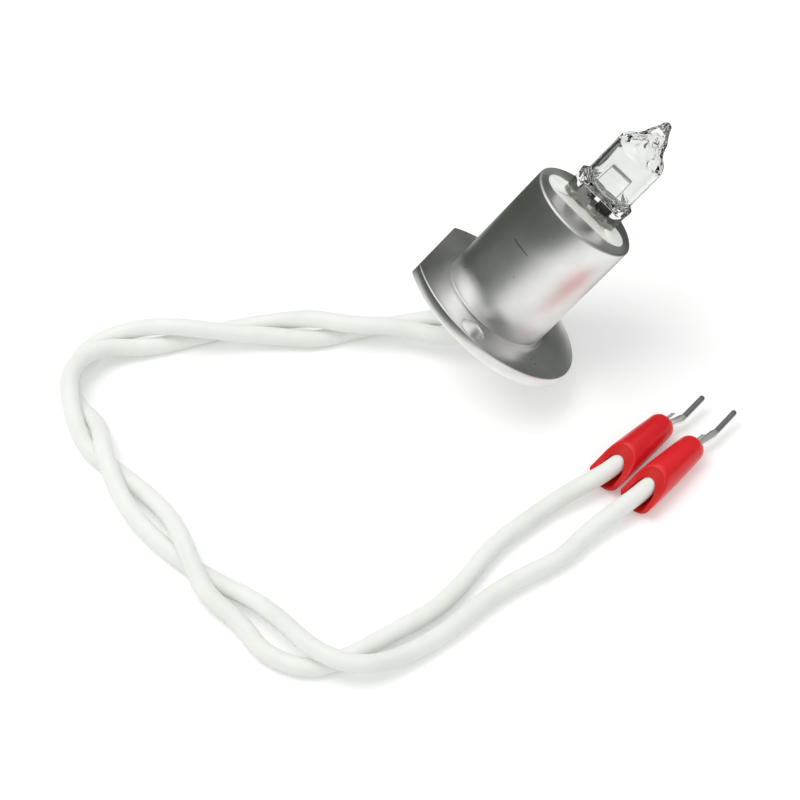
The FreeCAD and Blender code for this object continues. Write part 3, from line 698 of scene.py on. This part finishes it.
def eased_corner(before, corner, after, count=8):
    """A quadratic curve from one point to the next, drawn towards the corner between them."""
    t = np.linspace(0, 1, count)[:, None]
    return [(1 - t) ** 2 * b + 2 * t * (1 - t) * c + t * t * a
            for b, c, a in zip(before, corner, after)]


def sleeve_rings(around=192):
    """Rings from the hole in the far end over the outside, the cut and the bore to the stop. The
    edges are eased more where the cut has taken the mouth away. The second result says which
    points belong to the cut and the inside, whose red the finish paints darker as shade."""
    bearing = np.linspace(0, 2 * np.pi, around, endpoint=False)
    outer, inner = rim_at(bearing)
    edge = 0.06 + 0.42 * smooth_step(outer, MOUTH_ROUND, MOUTH_ROUND + 1.2)
    quarter = np.radians(np.linspace(90, 0, 16))
    rows = []

    def add(s, r):
        s, r = np.broadcast_to(s, around), np.broadcast_to(r, around)
        rows.append(np.stack([s, r * np.sin(bearing), r * np.cos(bearing)], -1))

    add(SLEEVE_L - 0.6, SLEEVE_END_R)
    add(SLEEVE_L - 0.08, SLEEVE_END_R)
    add(SLEEVE_L, SLEEVE_END_R + 0.06)
    body_end = SLEEVE_L - FAR_ROUND_L
    for a in quarter:
        add(SLEEVE_L - FAR_ROUND_L * (1 - math.sin(a)),
            outer_at(body_end) - FAR_ROUND_R * (1 - math.cos(a)))
    for t in np.linspace(0, 1, 28)[1:]:
        s = body_end * (1 - t) + (outer + edge) * t
        add(s, outer_at(s))
    inside_from = len(rows) + 5
    corner_r = outer_at(outer)
    below = corner_r - edge * 0.9
    before, after = (outer + edge, outer_at(outer + edge)), (front_at(below, bearing), below)
    for s, r in list(zip(*eased_corner(before, (outer, corner_r), after)))[1:]:
        add(s, r)
    lip = inner_at(inner) + 0.1
    for a in quarter[1:]:
        r = lip + (below - inner_at(inner) - 0.1) * math.sin(a)
        add(front_at(r, bearing), r)
    deeper = inner + 0.12
    before, after = (front_at(lip, bearing), lip), (deeper, inner_at(deeper))
    for s, r in list(zip(*eased_corner(before, (inner, inner_at(inner)), after, 5)))[1:]:
        add(s, r)
    for t in np.linspace(0, 1, 8)[1:]:
        s = deeper * (1 - t) + BORE_START * t
        add(s, inner_at(s))
    stop = BARREL_END + BARREL_CAP + 0.1
    add(stop - 0.02, THROAT_R)
    add(stop, SLEEVE_END_R)
    return np.array(rows), np.repeat(np.arange(len(rows)) >= inside_from, around)


sleeves = {}
straight_sleeve, cut_shade_and_matt_mask = sleeve_rings()
for name in SIDE:
    rings = from_terminal(name, straight_sleeve)
    sleeves[name] = piece("sleeve_" + name, [shell(rings, closed_along=True)], sharp=50)
    # the inside mark carries the cut's painted shade, a darker red, and its extra roughness
    mark_points(sleeves[name], "inside", cut_shade_and_matt_mask)
    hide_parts("terminal_sleeve_" + name)
    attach(sleeves[name], "root")
print("edge of the scoop below and above in mm:", np.round(rim_at(np.array([np.pi, 0.0]))[0], 2))

# %% [markdown]
# The metal that shows beyond each sleeve is a flat tinned neck that runs a little aside and
# narrows into a slim blade bent slightly upwards. It is a rounded strip: at each place along its
# path it has a width, a thickness and a centre, and its section is a rectangle with soft corners,
# worked out as a superellipse. Inside the sleeve the strip grows out of a crimped barrel, a
# capped tube, and a few strands of the lead show beside the neck.

# %% The blades
NECK_W, BLADE_T, BLADE_W, BLADE_L, BLADE_BEND, BLADE_DROP = 1.35, 0.8, 0.9, 5.2, 10.0, 0.2
BLADE_TIP = 0.3
STRAND_R, STRAND_Z, STRAND_END = 0.15, 0.75, 19.0
STRANDS = ((0.3, 18.7), (2.4, STRAND_END), (4.5, 18.3))


def strip_rings(centre, lean, width, thick, around=40):
    """Superellipse sections of power four: x and y are the signed square roots of the cosine and
    the sine, times half the width and half the thickness. lean tips each section with the path."""
    a = np.linspace(0, 2 * np.pi, around, endpoint=False)
    across = np.sign(np.cos(a)) * np.abs(np.cos(a)) ** 0.5
    up = np.sign(np.sin(a)) * np.abs(np.sin(a)) ** 0.5
    y = across[None] * width[:, None] / 2
    z = up[None] * thick[:, None] / 2
    return np.stack([centre[:, 0, None] - z * np.sin(lean)[:, None], y + centre[:, 1, None],
                     centre[:, 2, None] + z * np.cos(lean)[:, None]], -1)


def blade_rings(name):
    """The neck and the blade as one strip. It runs aside, bends up where the blade begins, and is
    rounded at its tip."""
    neck_end, aside = TERMINALS[name]["neck_end"], TERMINALS[name]["neck_aside"]
    start, tip = BARREL_END + BARREL_CAP - 0.3, neck_end + BLADE_L
    last = tip - BLADE_TIP
    s = np.r_[np.linspace(start, neck_end - 0.7, 14), np.linspace(neck_end - 0.6, neck_end + 0.5, 16),
              np.linspace(neck_end + 0.9, last, 6),
              tip - BLADE_TIP * (1 - np.sin(np.linspace(0, np.pi / 2, 6)[1:]))]
    lean = math.radians(BLADE_BEND) * smooth_step(s, neck_end - 0.3, neck_end + 0.5)
    rise = np.r_[0, np.cumsum(np.diff(s) * np.tan((lean[1:] + lean[:-1]) / 2))]
    aside = aside * smooth_step(s, start, neck_end - 0.1)
    centre = np.stack([s, aside, rise - BLADE_DROP], -1)
    width = NECK_W + (BLADE_W - NECK_W) * smooth_step(s, neck_end - 0.6, neck_end)
    past_last = np.clip(s - last, 0, BLADE_TIP) / BLADE_TIP
    end = np.sqrt(np.clip(1 - past_last ** 2, 0.02, 1))
    return strip_rings(centre, lean, width * (0.35 + 0.65 * end), BLADE_T * (0.5 + 0.5 * end))


def barrel_rings():
    """A capped tube whose axis is the sleeve's: the ring (0, r sin a, r cos a) moved along x."""
    end = BARREL_END + BARREL_CAP
    profile = [(BARREL_END, 0.05), (BARREL_END, BARREL_BORE_R), (BARREL_START, BARREL_BORE_R),
               (BARREL_START, BARREL_R), (end - 0.15, BARREL_R), (end, BARREL_R - 0.15), (end, 0.05)]
    rings = revolved([(r, s) for s, r in profile], around=96)
    return rings[..., [2, 0, 1]]


def strand_rings(turn, reach):
    """One strand of a loose bundle: it runs round the bundle's middle line as it goes."""
    s = np.linspace(BARREL_END - 0.5, reach, 24)
    a = turn + 0.5 * (s - BARREL_END)
    spread = 0.13 + 0.05 * smooth_step(s, 17.5, STRAND_END)
    return swept(np.stack([s, spread * np.sin(a), STRAND_Z + spread * np.cos(a)], -1), STRAND_R, 12)


blades, strands = {}, {}
for name in SIDE:
    blade = blade_rings(name)
    shells = [shell(from_terminal(name, rings)) for rings in (blade, barrel_rings())]
    blades[name] = piece("blade_" + name, shells, sharp=50)
    neck_end = TERMINALS[name]["neck_end"]
    dull = np.r_[smooth_step(blade[..., 0].ravel(), neck_end - 0.25, neck_end + 0.1), 0, 1]
    points_left = len(blades[name].data.vertices) - len(dull)
    mark_points(blades[name], "dull", np.r_[dull, np.zeros(points_left)])
    wires = [shell(from_terminal(name, strand_rings(turn, reach))) for turn, reach in STRANDS]
    strands[name] = piece("strands_" + name, wires, sharp=60)
    for made, node in ((blades[name], "terminal_blade_"), (strands[name], "conductor_end_")):
        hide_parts(node + name)
        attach(made, "root")
print("blade tip in mm:", np.round(np.array(blades["a"].bound_box).max(0) * 1000, 1))

# %% [markdown]
# The back of the tube is closed by the same cement. It is a disc whose surface is slightly uneven
# and turns up a little against the bore, with a low collar round each lead.

# %% The cement at the back
PLUG_RECESS, PLUG_T, PLUG_R, PLUG_FLAT_R = 0.6, 4.0, 8.38, 7.4
COLLAR_R, COLLAR_W, COLLAR_H = 1.6, 0.55, 0.55


def plug_rings(around=160):
    """Recess + slow waves - a collar of height times exp(-((away - r) / width) squared) round each
    lead - a climb against the bore."""
    radius = np.r_[np.linspace(0.05, 7.9, 60), 8.25, PLUG_R]
    rings = revolved(np.c_[radius, np.full(len(radius), PLUG_RECESS)], around)
    x, y = rings[..., 0], rings[..., 1]
    height = PLUG_RECESS + 0.08 * uneven(x, y, 5.0, 1.9) + 0.03 * uneven(x, y, 1.9, 0.4)
    for side in (-1, 1):
        away = np.hypot(x - side * POLE_X, y)
        height = height - COLLAR_H * np.exp(-((away - COLLAR_R) / COLLAR_W) ** 2)
    height = height - 0.35 * smooth_step(np.hypot(x, y), PLUG_FLAT_R, PLUG_R)
    rings[..., 2] = np.clip(height, 0.03, None)
    back = revolved([(r, PLUG_RECESS + PLUG_T) for r in (PLUG_R, 0.05)], around)
    return np.concatenate([rings, back])


plug = to_table_mesh(piece("rear_cement", [shell(plug_rings())], sharp=60))
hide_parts("rear_plug")
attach(plug, "root")
print("rear cement faces:", len(plug.data.polygons))

# %% [markdown]
# Finishes. Each material is built from the shader outwards with a few small helpers. Patterns read
# Object coordinates: the objects all sit at the origin, so those are places on the table, the
# same for every piece.

# %% Helpers for finishes
def new_finish(name):
    """A material, its node tree, its Principled shader and the Object coordinates."""
    made = bpy.data.materials.new(name)
    made.use_nodes = True
    tree = made.node_tree
    coordinates = tree.nodes.new("ShaderNodeTexCoord")
    return made, tree, tree.nodes["Principled BSDF"], coordinates.outputs["Object"]


def feed(tree, value, socket):
    """Links a node's output to a socket, or stores a plain number, place or colour in it. A plain
    colour gets its fourth number, the opacity, here."""
    if hasattr(value, "is_linked"):
        tree.links.new(value, socket)
    elif np.ndim(value) == 0:
        socket.default_value = value
    else:
        missing = len(socket.default_value) - len(value)
        socket.default_value = [float(v) for v in value] + [1.0] * missing


def fill(tree, node, values):
    """Feeds a node's inputs by their names."""
    for name, value in values.items():
        feed(tree, value, node.inputs[name])


def new_node(tree, kind, values):
    """A node of this kind with its inputs fed."""
    node = tree.nodes.new("ShaderNode" + kind)
    fill(tree, node, values)
    return node


def step(tree, kind, operation, values, result):
    """A node of arithmetic, fed with its values in order."""
    node = new_node(tree, kind, {})
    node.operation = operation
    for value, socket in zip(values, node.inputs):
        feed(tree, value, socket)
    return node.outputs[result]


def scalar_step(tree, operation, *values):
    return step(tree, "Math", operation, values, "Value")


def plus(tree, a, b):
    return scalar_step(tree, "ADD", a, b)


def times(tree, a, b):
    return scalar_step(tree, "MULTIPLY", a, b)


def vector_step(tree, operation, *values, result="Vector"):
    """The result is "Value" where a number comes out."""
    return step(tree, "VectorMath", operation, values, result)


def noise(tree, place, scale, detail=3.0, roughness=0.55):
    """Soft random blotches; scale is in blotches per unit of place."""
    values = {"Vector": place, "Scale": scale, "Detail": detail, "Roughness": roughness}
    return new_node(tree, "TexNoise", values).outputs["Fac"]


def ramp(tree, value, *stops):
    """Turns a value into a colour by two stops of (position, (red, green, blue))."""
    node = new_node(tree, "ValToRGB", {"Fac": value})
    for element, (position, colour) in zip(node.color_ramp.elements, stops):
        element.position = position
        element.color = (*colour, 1.0)
    return node.outputs["Color"]


def span(tree, value, low, high, start=0.3, end=0.7):
    """Carries a value from start..end over to low..high."""
    values = {"Value": value, "From Min": start, "From Max": end, "To Min": low, "To Max": high}
    return new_node(tree, "MapRange", values).outputs["Result"]


def point_marks(tree, layer):
    """The numbers that were stored on the points."""
    node = new_node(tree, "Attribute", {})
    node.attribute_name = layer
    return node.outputs["Fac"]


def blend(tree, share, first, second):
    """A mix of two colours; in a colour mix they are the node's inputs 6 and 7."""
    node = new_node(tree, "Mix", {})
    node.data_type = "RGBA"
    for value, k in ((share, 0), (first, 6), (second, 7)):
        feed(tree, value, node.inputs[k])
    return node.outputs[2]


def bump(tree, shader, height, strength, distance):
    """Tilts the surface by a height pattern; distance is the height of a full step, in metres."""
    node = new_node(tree, "Bump", {"Height": height, "Strength": strength, "Distance": distance})
    fill(tree, shader, {"Normal": node.outputs["Normal"]})


def dress(node, material):
    """Gives a solid of the frame its finish."""
    for place in nodes[node].material_slots:
        place.material = material


print("finish helpers ready")

# %% [markdown]
# Turned metal. A lathe tool leaves fine grooves that run round the axis, so a highlight spreads
# along the lamp and fans out on the flange. The shader does that with its anisotropy, which needs
# the grooves' direction at each point: the cross product of the lamp's axis with the place's
# distance from it. Faint rings in the roughness show single tool marks, and the end face is a
# little rougher. The photograph shows one short dark scratch round the tube and a few small spots,
# and these are put where they are seen: places on the upright lamp and sizes, in millimetres.

# %% Turned metal
SCRATCH_Z, SCRATCH_BEARING = 16.65, 68.0
SPOTS = (((8.06, 5.91, 5.52), 0.16), ((1.09, 9.94, 12.27), 0.14), ((11.89, -11.91, 2.25), 0.3),
         ((-10.86, 7.17, 2.25), 0.22), ((-12.0, 7.36, 2.25), 0.2))


def head_frame(tree, place):
    """Places in the upright lamp's frame, in millimetres: subtract the shift, undo the turn. Gives
    the place and its three numbers."""
    shifted = vector_step(tree, "SUBTRACT", place, HEAD_PLACE * MM)
    rows = [vector_step(tree, "DOT_PRODUCT", shifted, column / MM, result="Value")
            for column in HEAD_TURN.T]
    joined = new_node(tree, "CombineXYZ", dict(zip("XYZ", rows)))
    return joined.outputs["Vector"], rows


def near_height(tree, height, level, full, none):
    """1 where the height is within full of the level, falling to 0 at none."""
    away = scalar_step(tree, "ABSOLUTE", scalar_step(tree, "SUBTRACT", height, level))
    return span(tree, away, 1.0, 0.0, full, none)


def past(tree, x, y, bearing, start, end):
    """0 to 1 as the place passes from start to end along a bearing: x cos b + y sin b."""
    b = math.radians(bearing)
    along = plus(tree, times(tree, x, math.cos(b)), times(tree, y, math.sin(b)))
    return span(tree, along, 0.0, 1.0, start, end)


def near_spot(tree, place, spot, size):
    """1 in the middle of a round spot, falling to 0 at its edge."""
    away = vector_step(tree, "DISTANCE", place, spot, result="Value")
    return span(tree, away, 1.0, 0.0, size * 0.5, size)


turned, tree, shader, place = new_finish("turned_metal")
upright, (hx, hy, hz) = head_frame(tree, place)
radius = scalar_step(tree, "SQRT", plus(tree, times(tree, hx, hx), times(tree, hy, hy)))
rings = new_node(tree, "CombineXYZ", {"X": radius, "Z": hz})
tool_marks = noise(tree, rings.outputs["Vector"], 9.0, detail=6.0, roughness=0.75)
handling = noise(tree, upright, 0.22, detail=4.0)
marks = times(tree, near_height(tree, hz, SCRATCH_Z, 0.05, 0.13),
              past(tree, hx, hy, SCRATCH_BEARING, 9.80, 9.84))
for spot, size in SPOTS:
    marks = scalar_step(tree, "MAXIMUM", marks, near_spot(tree, upright, spot, size))
clean = ramp(tree, handling, (0.3, (0.80, 0.80, 0.79)), (0.7, (0.88, 0.88, 0.87)))
end_face = span(tree, hz, 0.0, 0.07, END_Z - 0.5, END_Z - 0.1)
outwards = vector_step(tree, "SUBTRACT", place, HEAD_PLACE * MM)
grooves = vector_step(tree, "CROSS_PRODUCT", outwards, HEAD_AXIS)
fill(tree, shader, {
    "Base Color": blend(tree, times(tree, marks, 0.75), clean, (0.10, 0.10, 0.09)),
    "Metallic": 1.0, "Anisotropic": 0.75,
    "Roughness": plus(tree, span(tree, tool_marks, 0.3, 0.4), end_face),
    "Tangent": vector_step(tree, "NORMALIZE", grooves),
})
bump(tree, shader, tool_marks, 0.12, 0.00002)
holder.data.materials.append(turned)
print("turned metal on the holder")

# %% [markdown]
# Fired ceramic and cement are matt, nearly white and slightly warm, with a fine grain. The cement
# is rougher and has small pits; the ceramic block under it is smoother.

# %% Ceramic and cement
def chalky(name, pale, dull, roughness, grain, strength):
    """A matt white with pale and dull blotches and a fine grain."""
    made, tree, shader, place = new_finish(name)
    blotches = noise(tree, place, 420.0, detail=4.0)
    fill(tree, shader, {"Base Color": ramp(tree, blotches, (0.3, dull), (0.6, pale)),
                        "Roughness": roughness, "Specular IOR Level": 0.3})
    bump(tree, shader, noise(tree, place, grain, detail=5.0, roughness=0.7), strength, 0.0001)
    return made


cement_finish = chalky("cement_finish", (0.97, 0.98, 0.93), (0.90, 0.91, 0.85), 0.85, 1500.0, 0.4)
ceramic_finish = chalky("ceramic_finish", (0.92, 0.92, 0.88), (0.86, 0.86, 0.81), 0.6, 3000.0, 0.25)
cement.data.materials.append(cement_finish)
plug.data.materials.append(cement_finish)
dress("ceramic_block", ceramic_finish)
print("cement and ceramic dressed")

# %% [markdown]
# Quartz is clear glass with a low refractive index. Almost all that shows of it is what it bends:
# the dark edges of its wall and the folds of its tip. A trace of haze breaks up the perfect
# reflections.

# %% Quartz
quartz, tree, shader, place = new_finish("quartz_glass")
upright, _ = head_frame(tree, place)
haze = noise(tree, upright, 0.9, detail=2.0)
fill(tree, shader, {"Base Color": (0.885, 0.888, 0.872), "Transmission Weight": 1.0, "IOR": 1.458,
                    "Roughness": span(tree, haze, 0.0, 0.03, 0.45, 0.8)})
bump(tree, shader, noise(tree, upright, 0.4, detail=1.0), 0.15, 0.0001)
capsule.data.materials.append(quartz)
print("quartz dressed")

# %% [markdown]
# The small metals: a dull tungsten wire, molybdenum foils that have gone dark and mottled towards
# their upper ends, foil a more than foil b, plain pins, ferrules and cores hidden in the tube, and
# tinned blades whose slim ends are dull.

# %% Small metals
def metal_finish(name, bright, dark, low, high, scale):
    """Metal with bright, smooth patches of roughness low and dark ones of roughness high."""
    made, tree, shader, place = new_finish(name)
    patches = noise(tree, place, scale, detail=4.0, roughness=0.65)
    fill(tree, shader, {"Base Color": ramp(tree, patches, (0.32, dark), (0.62, bright)),
                        "Metallic": 1.0, "Roughness": span(tree, patches, high, low)})
    bump(tree, shader, patches, 0.1, 0.00003)
    return made


tungsten = metal_finish("tungsten_wire", (0.42, 0.42, 0.43), (0.22, 0.22, 0.23), 0.3, 0.5, 2500.0)
nickel = metal_finish("nickel_splice", (0.66, 0.64, 0.60), (0.52, 0.50, 0.47), 0.25, 0.4, 900.0)
tinned = metal_finish("tinned_copper", (0.90, 0.90, 0.88), (0.70, 0.70, 0.69), 0.22, 0.42, 700.0)
tree = tinned.node_tree
shader = tree.nodes["Principled BSDF"]
plain = shader.inputs["Base Color"].links[0].from_socket
fill(tree, shader, {"Base Color": blend(tree, point_marks(tree, "dull"), plain, (0.20, 0.20, 0.21))})

molybdenum, tree, shader, place = new_finish("seal_foil")
upright, (hx, _, hz) = head_frame(tree, place)
mottle = noise(tree, upright, 1.6, detail=5.0, roughness=0.7)
upwards = span(tree, hz, 0.0, 1.0, END_Z + 1.2, END_Z + 2.4)
towards_a = span(tree, hx, 0.25, -0.75, -1.0, 2.6)
darkening = plus(tree, plus(tree, upwards, span(tree, mottle, -0.6, 0.6)), towards_a)
fill(tree, shader, {
    "Base Color": ramp(tree, darkening, (0.35, (0.45, 0.45, 0.44)), (0.65, (0.02, 0.02, 0.02))),
    "Metallic": 0.7, "Roughness": span(tree, mottle, 0.35, 0.6),
})
bump(tree, shader, mottle, 0.3, 0.00005)

filament.data.materials.append(tungsten)
for name in SIDE:
    blades[name].data.materials.append(tinned)
    strands[name].data.materials.append(tinned)
    legs[name].data.materials.append(tungsten)
    for node, finish in (("seal_foil_", molybdenum), ("contact_pin_", nickel),
                         ("splice_ferrule_", nickel), ("lead_core_", tinned)):
        dress(node + name, finish)
print("small metals dressed")

# %% [markdown]
# Silicone insulation is soft, slightly translucent and satin, with a faint drag from the die it was
# drawn through and traces of handling. The sleeves are glossy red plastic with a moulded skin; the
# cut and the bore are rougher, and their red is painted darker as shade in the hollow.

# %% Silicone and red plastic
silicone, tree, shader, place = new_finish("white_silicone")
smudge = noise(tree, place, 70.0, detail=4.0)
fill(tree, shader, {
    "Base Color": ramp(tree, smudge, (0.3, (0.86, 0.87, 0.83)), (0.55, (0.93, 0.94, 0.90))),
    "Roughness": span(tree, noise(tree, place, 300.0), 0.42, 0.58),
    "Subsurface Weight": 0.25, "Subsurface Radius": (1.0, 0.9, 0.8), "Subsurface Scale": 0.0008,
})
bump(tree, shader, noise(tree, place, 900.0, detail=4.0), 0.15, 0.00004)

red_plastic, tree, shader, place = new_finish("red_plastic")
flow = noise(tree, place, 160.0, detail=3.0)
skin = ramp(tree, flow, (0.3, (0.70, 0.010, 0.016)), (0.7, (0.82, 0.014, 0.024)))
# painted shade: the cut and the bore get a darker red than the skin; they also get more roughness
cut_shade_and_matt = point_marks(tree, "inside")
fill(tree, shader, {
    "Base Color": blend(tree, cut_shade_and_matt, skin, (0.62, 0.006, 0.004)),
    "Roughness": plus(tree, span(tree, flow, 0.26, 0.36), times(tree, cut_shade_and_matt, 0.35)),
    "Specular IOR Level": 0.35, "Coat Weight": 0.15, "Coat Roughness": 0.12,
    "Subsurface Weight": 0.1, "Subsurface Radius": (1.0, 0.2, 0.15), "Subsurface Scale": 0.0006,
})
bump(tree, shader, noise(tree, place, 1200.0, detail=2.0), 0.08, 0.00003)

for name in SIDE:
    leads[name].data.materials.append(silicone)
    sleeves[name].data.materials.append(red_plastic)
print("silicone and plastic dressed")

# %% [markdown]
# The leads take the place of the plain tubes and are attached to the root.

for name in SIDE:
    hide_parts("lead_wire_" + name)
    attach(leads[name], "root")

# %% [markdown]
# Studio. A white table, a white surround, and one soft box above. Metal shows what stands round it,
# so four dark cards are there for reflections only: a wide ring round the set, a screen in front of
# the head from its left round to its right, a low one close behind it and on its right, which hides
# the far table from the tube and the flange, and a level card that hides the table at its right. Two
# more are there only for light bent by the glass: a grey ring and a dark screen behind the head
# give the quartz its edges.

# %% The table and the cards
TABLE_HALF, TABLE_LIFT = 2.0, 0.22
SET_X, HEAD_X = -0.03, -0.005
METAL_DARK, GLASS_GREY, GLASS_DARK = (0.062, 0.07, 0.058), (0.42, 0.42, 0.42), (0.05, 0.05, 0.05)


def rectangle(low, high, z=0.0):
    """Points and face of a level rectangle from one corner to the opposite one."""
    corners = [(low[0], low[1], z), (high[0], low[1], z), (high[0], high[1], z), (low[0], high[1], z)]
    return np.array(corners), [(0, 1, 2, 3)]


def screen(x, radius, start, end, low, high, count=96):
    """Points and faces of an upright screen over an arc on the table, with its centre at (x, 0),
    its angles in degrees, and its lower and upper edge at the heights low and high."""
    a = np.radians(np.linspace(start, end, count))
    edges = [np.c_[x + radius * np.cos(a), radius * np.sin(a), np.full(count, z)] for z in (low, high)]
    k = np.arange(count - 1)
    return np.concatenate(edges), np.stack([k, k + 1, k + 1 + count, k + count], -1).tolist()


def card(name, shape, colour, for_glass=False, strength=1.0):
    """A card of one even colour that only reflections can see, or only light bent by glass."""
    made = mesh_object(name, *shape)
    cloth = bpy.data.materials.new(name + "_cloth")
    cloth.use_nodes = True
    tree = cloth.node_tree
    tree.nodes.clear()
    glow = new_node(tree, "Emission", {"Color": colour, "Strength": strength})
    new_node(tree, "OutputMaterial", {"Surface": glow.outputs["Emission"]})
    made.data.materials.append(cloth)
    made.visible_camera = made.visible_diffuse = made.visible_shadow = False
    made.visible_glossy, made.visible_transmission = not for_glass, for_glass
    return made


def seen_by(tree, *kinds):
    """1 for camera rays and rays of these kinds, 0 for all others."""
    path = tree.nodes.new("ShaderNodeLightPath").outputs
    seen = path["Is Camera Ray"]
    for kind in kinds:
        seen = scalar_step(tree, "MAXIMUM", seen, path["Is " + kind + " Ray"])
    return seen


table = mesh_object("table", *rectangle((-TABLE_HALF, -TABLE_HALF), (TABLE_HALF, TABLE_HALF)))
table_white, tree, shader, place = new_finish("table_white")
seen = seen_by(tree, "Glossy")
fill(tree, shader, {
    "Base Color": (0.92, 0.92, 0.92), "Roughness": 0.9, "Specular IOR Level": 0.1,
    "Emission Color": (1.0, 1.0, 1.0), "Emission Strength": times(tree, seen, TABLE_LIFT),
})
table.data.materials.append(table_white)
DARK_SHAPES = {
    "wide_dark_ring": screen(SET_X, 0.40, 0, 360, 0.07, 0.42),
    "front_dark_screen": screen(HEAD_X, 0.09, 148, 330, 0.043, 0.12),
    "near_dark_screen": screen(HEAD_X, 0.052, -25, 150, 0.0, 0.06),
    "dark_card_on_the_right": rectangle((0.014, -0.004), (0.075, 0.06), 0.0006),
}
for name, shape in DARK_SHAPES.items():
    card(name, shape, METAL_DARK)
glass_ring = screen(SET_X, 0.44, 0, 360, 0.16, 0.34)
glass_screen = screen(HEAD_X, 0.06, 62, 165, 0.0, 0.05)
card("ring_for_glass", glass_ring, GLASS_GREY, for_glass=True)
card("back_screen_for_glass", glass_screen, GLASS_DARK, for_glass=True)
print("table and", len(DARK_SHAPES) + 2, "cards set up")

# %% [markdown]
# The world lights the set softly. To the camera, to reflections and to light bent by glass it is
# plain white, so that the background is white wherever it shows. The soft box's own reflection
# would be far too bright on metal, so reflections see a pale card in its place.

# %% World and lamp
WORLD_STRENGTH = 0.72
BOX_PLACE, BOX_AIM, BOX_SIZE, BOX_WATTS = (-0.22, 0.06, 0.56), (-0.03, -0.01, 0.0), 0.34, 1.2

world = bpy.data.worlds.new("studio")
bpy.context.scene.world = world
world.use_nodes = True
tree = world.node_tree
tree.nodes.clear()
seen = seen_by(tree, "Glossy", "Transmission")
light = new_node(tree, "Background", {"Color": (0.98, 1.0, 0.985), "Strength": WORLD_STRENGTH})
white = new_node(tree, "Background", {"Color": (1.0, 1.0, 1.0), "Strength": 1.0})
mix = new_node(tree, "MixShader", {"Fac": seen})
for background, k in ((light, 1), (white, 2)):
    feed(tree, background.outputs["Background"], mix.inputs[k])
new_node(tree, "OutputWorld", {"Surface": mix.outputs["Shader"]})

soft_box = bpy.data.lights.new("soft_box", "AREA")
soft_box.shape = "SQUARE"
soft_box.size = BOX_SIZE
soft_box.energy = BOX_WATTS
soft_box.color = (1.0, 1.0, 0.985)
box_light = placed_object("soft_box", soft_box)
box_light.location = BOX_PLACE
aim = np.array(BOX_AIM) - np.array(box_light.location)
tilt_down = math.atan2(math.hypot(aim[0], aim[1]), -aim[2])
box_light.rotation_euler = (tilt_down, 0.0, math.atan2(aim[0], -aim[1]) + math.pi)
box_light.visible_glossy = False

points, faces = rectangle((-BOX_SIZE / 2, -BOX_SIZE / 2), (BOX_SIZE / 2, BOX_SIZE / 2))
turn = np.array(box_light.rotation_euler.to_matrix())
points = points @ turn.T + np.array(box_light.location)
card("pale_card", (points, faces), (1.0, 1.0, 0.97), strength=2.0)
bpy.context.scene.view_settings.view_transform = "Standard"
print("lit by a world of strength", WORLD_STRENGTH, "and a soft box of", BOX_WATTS, "W")
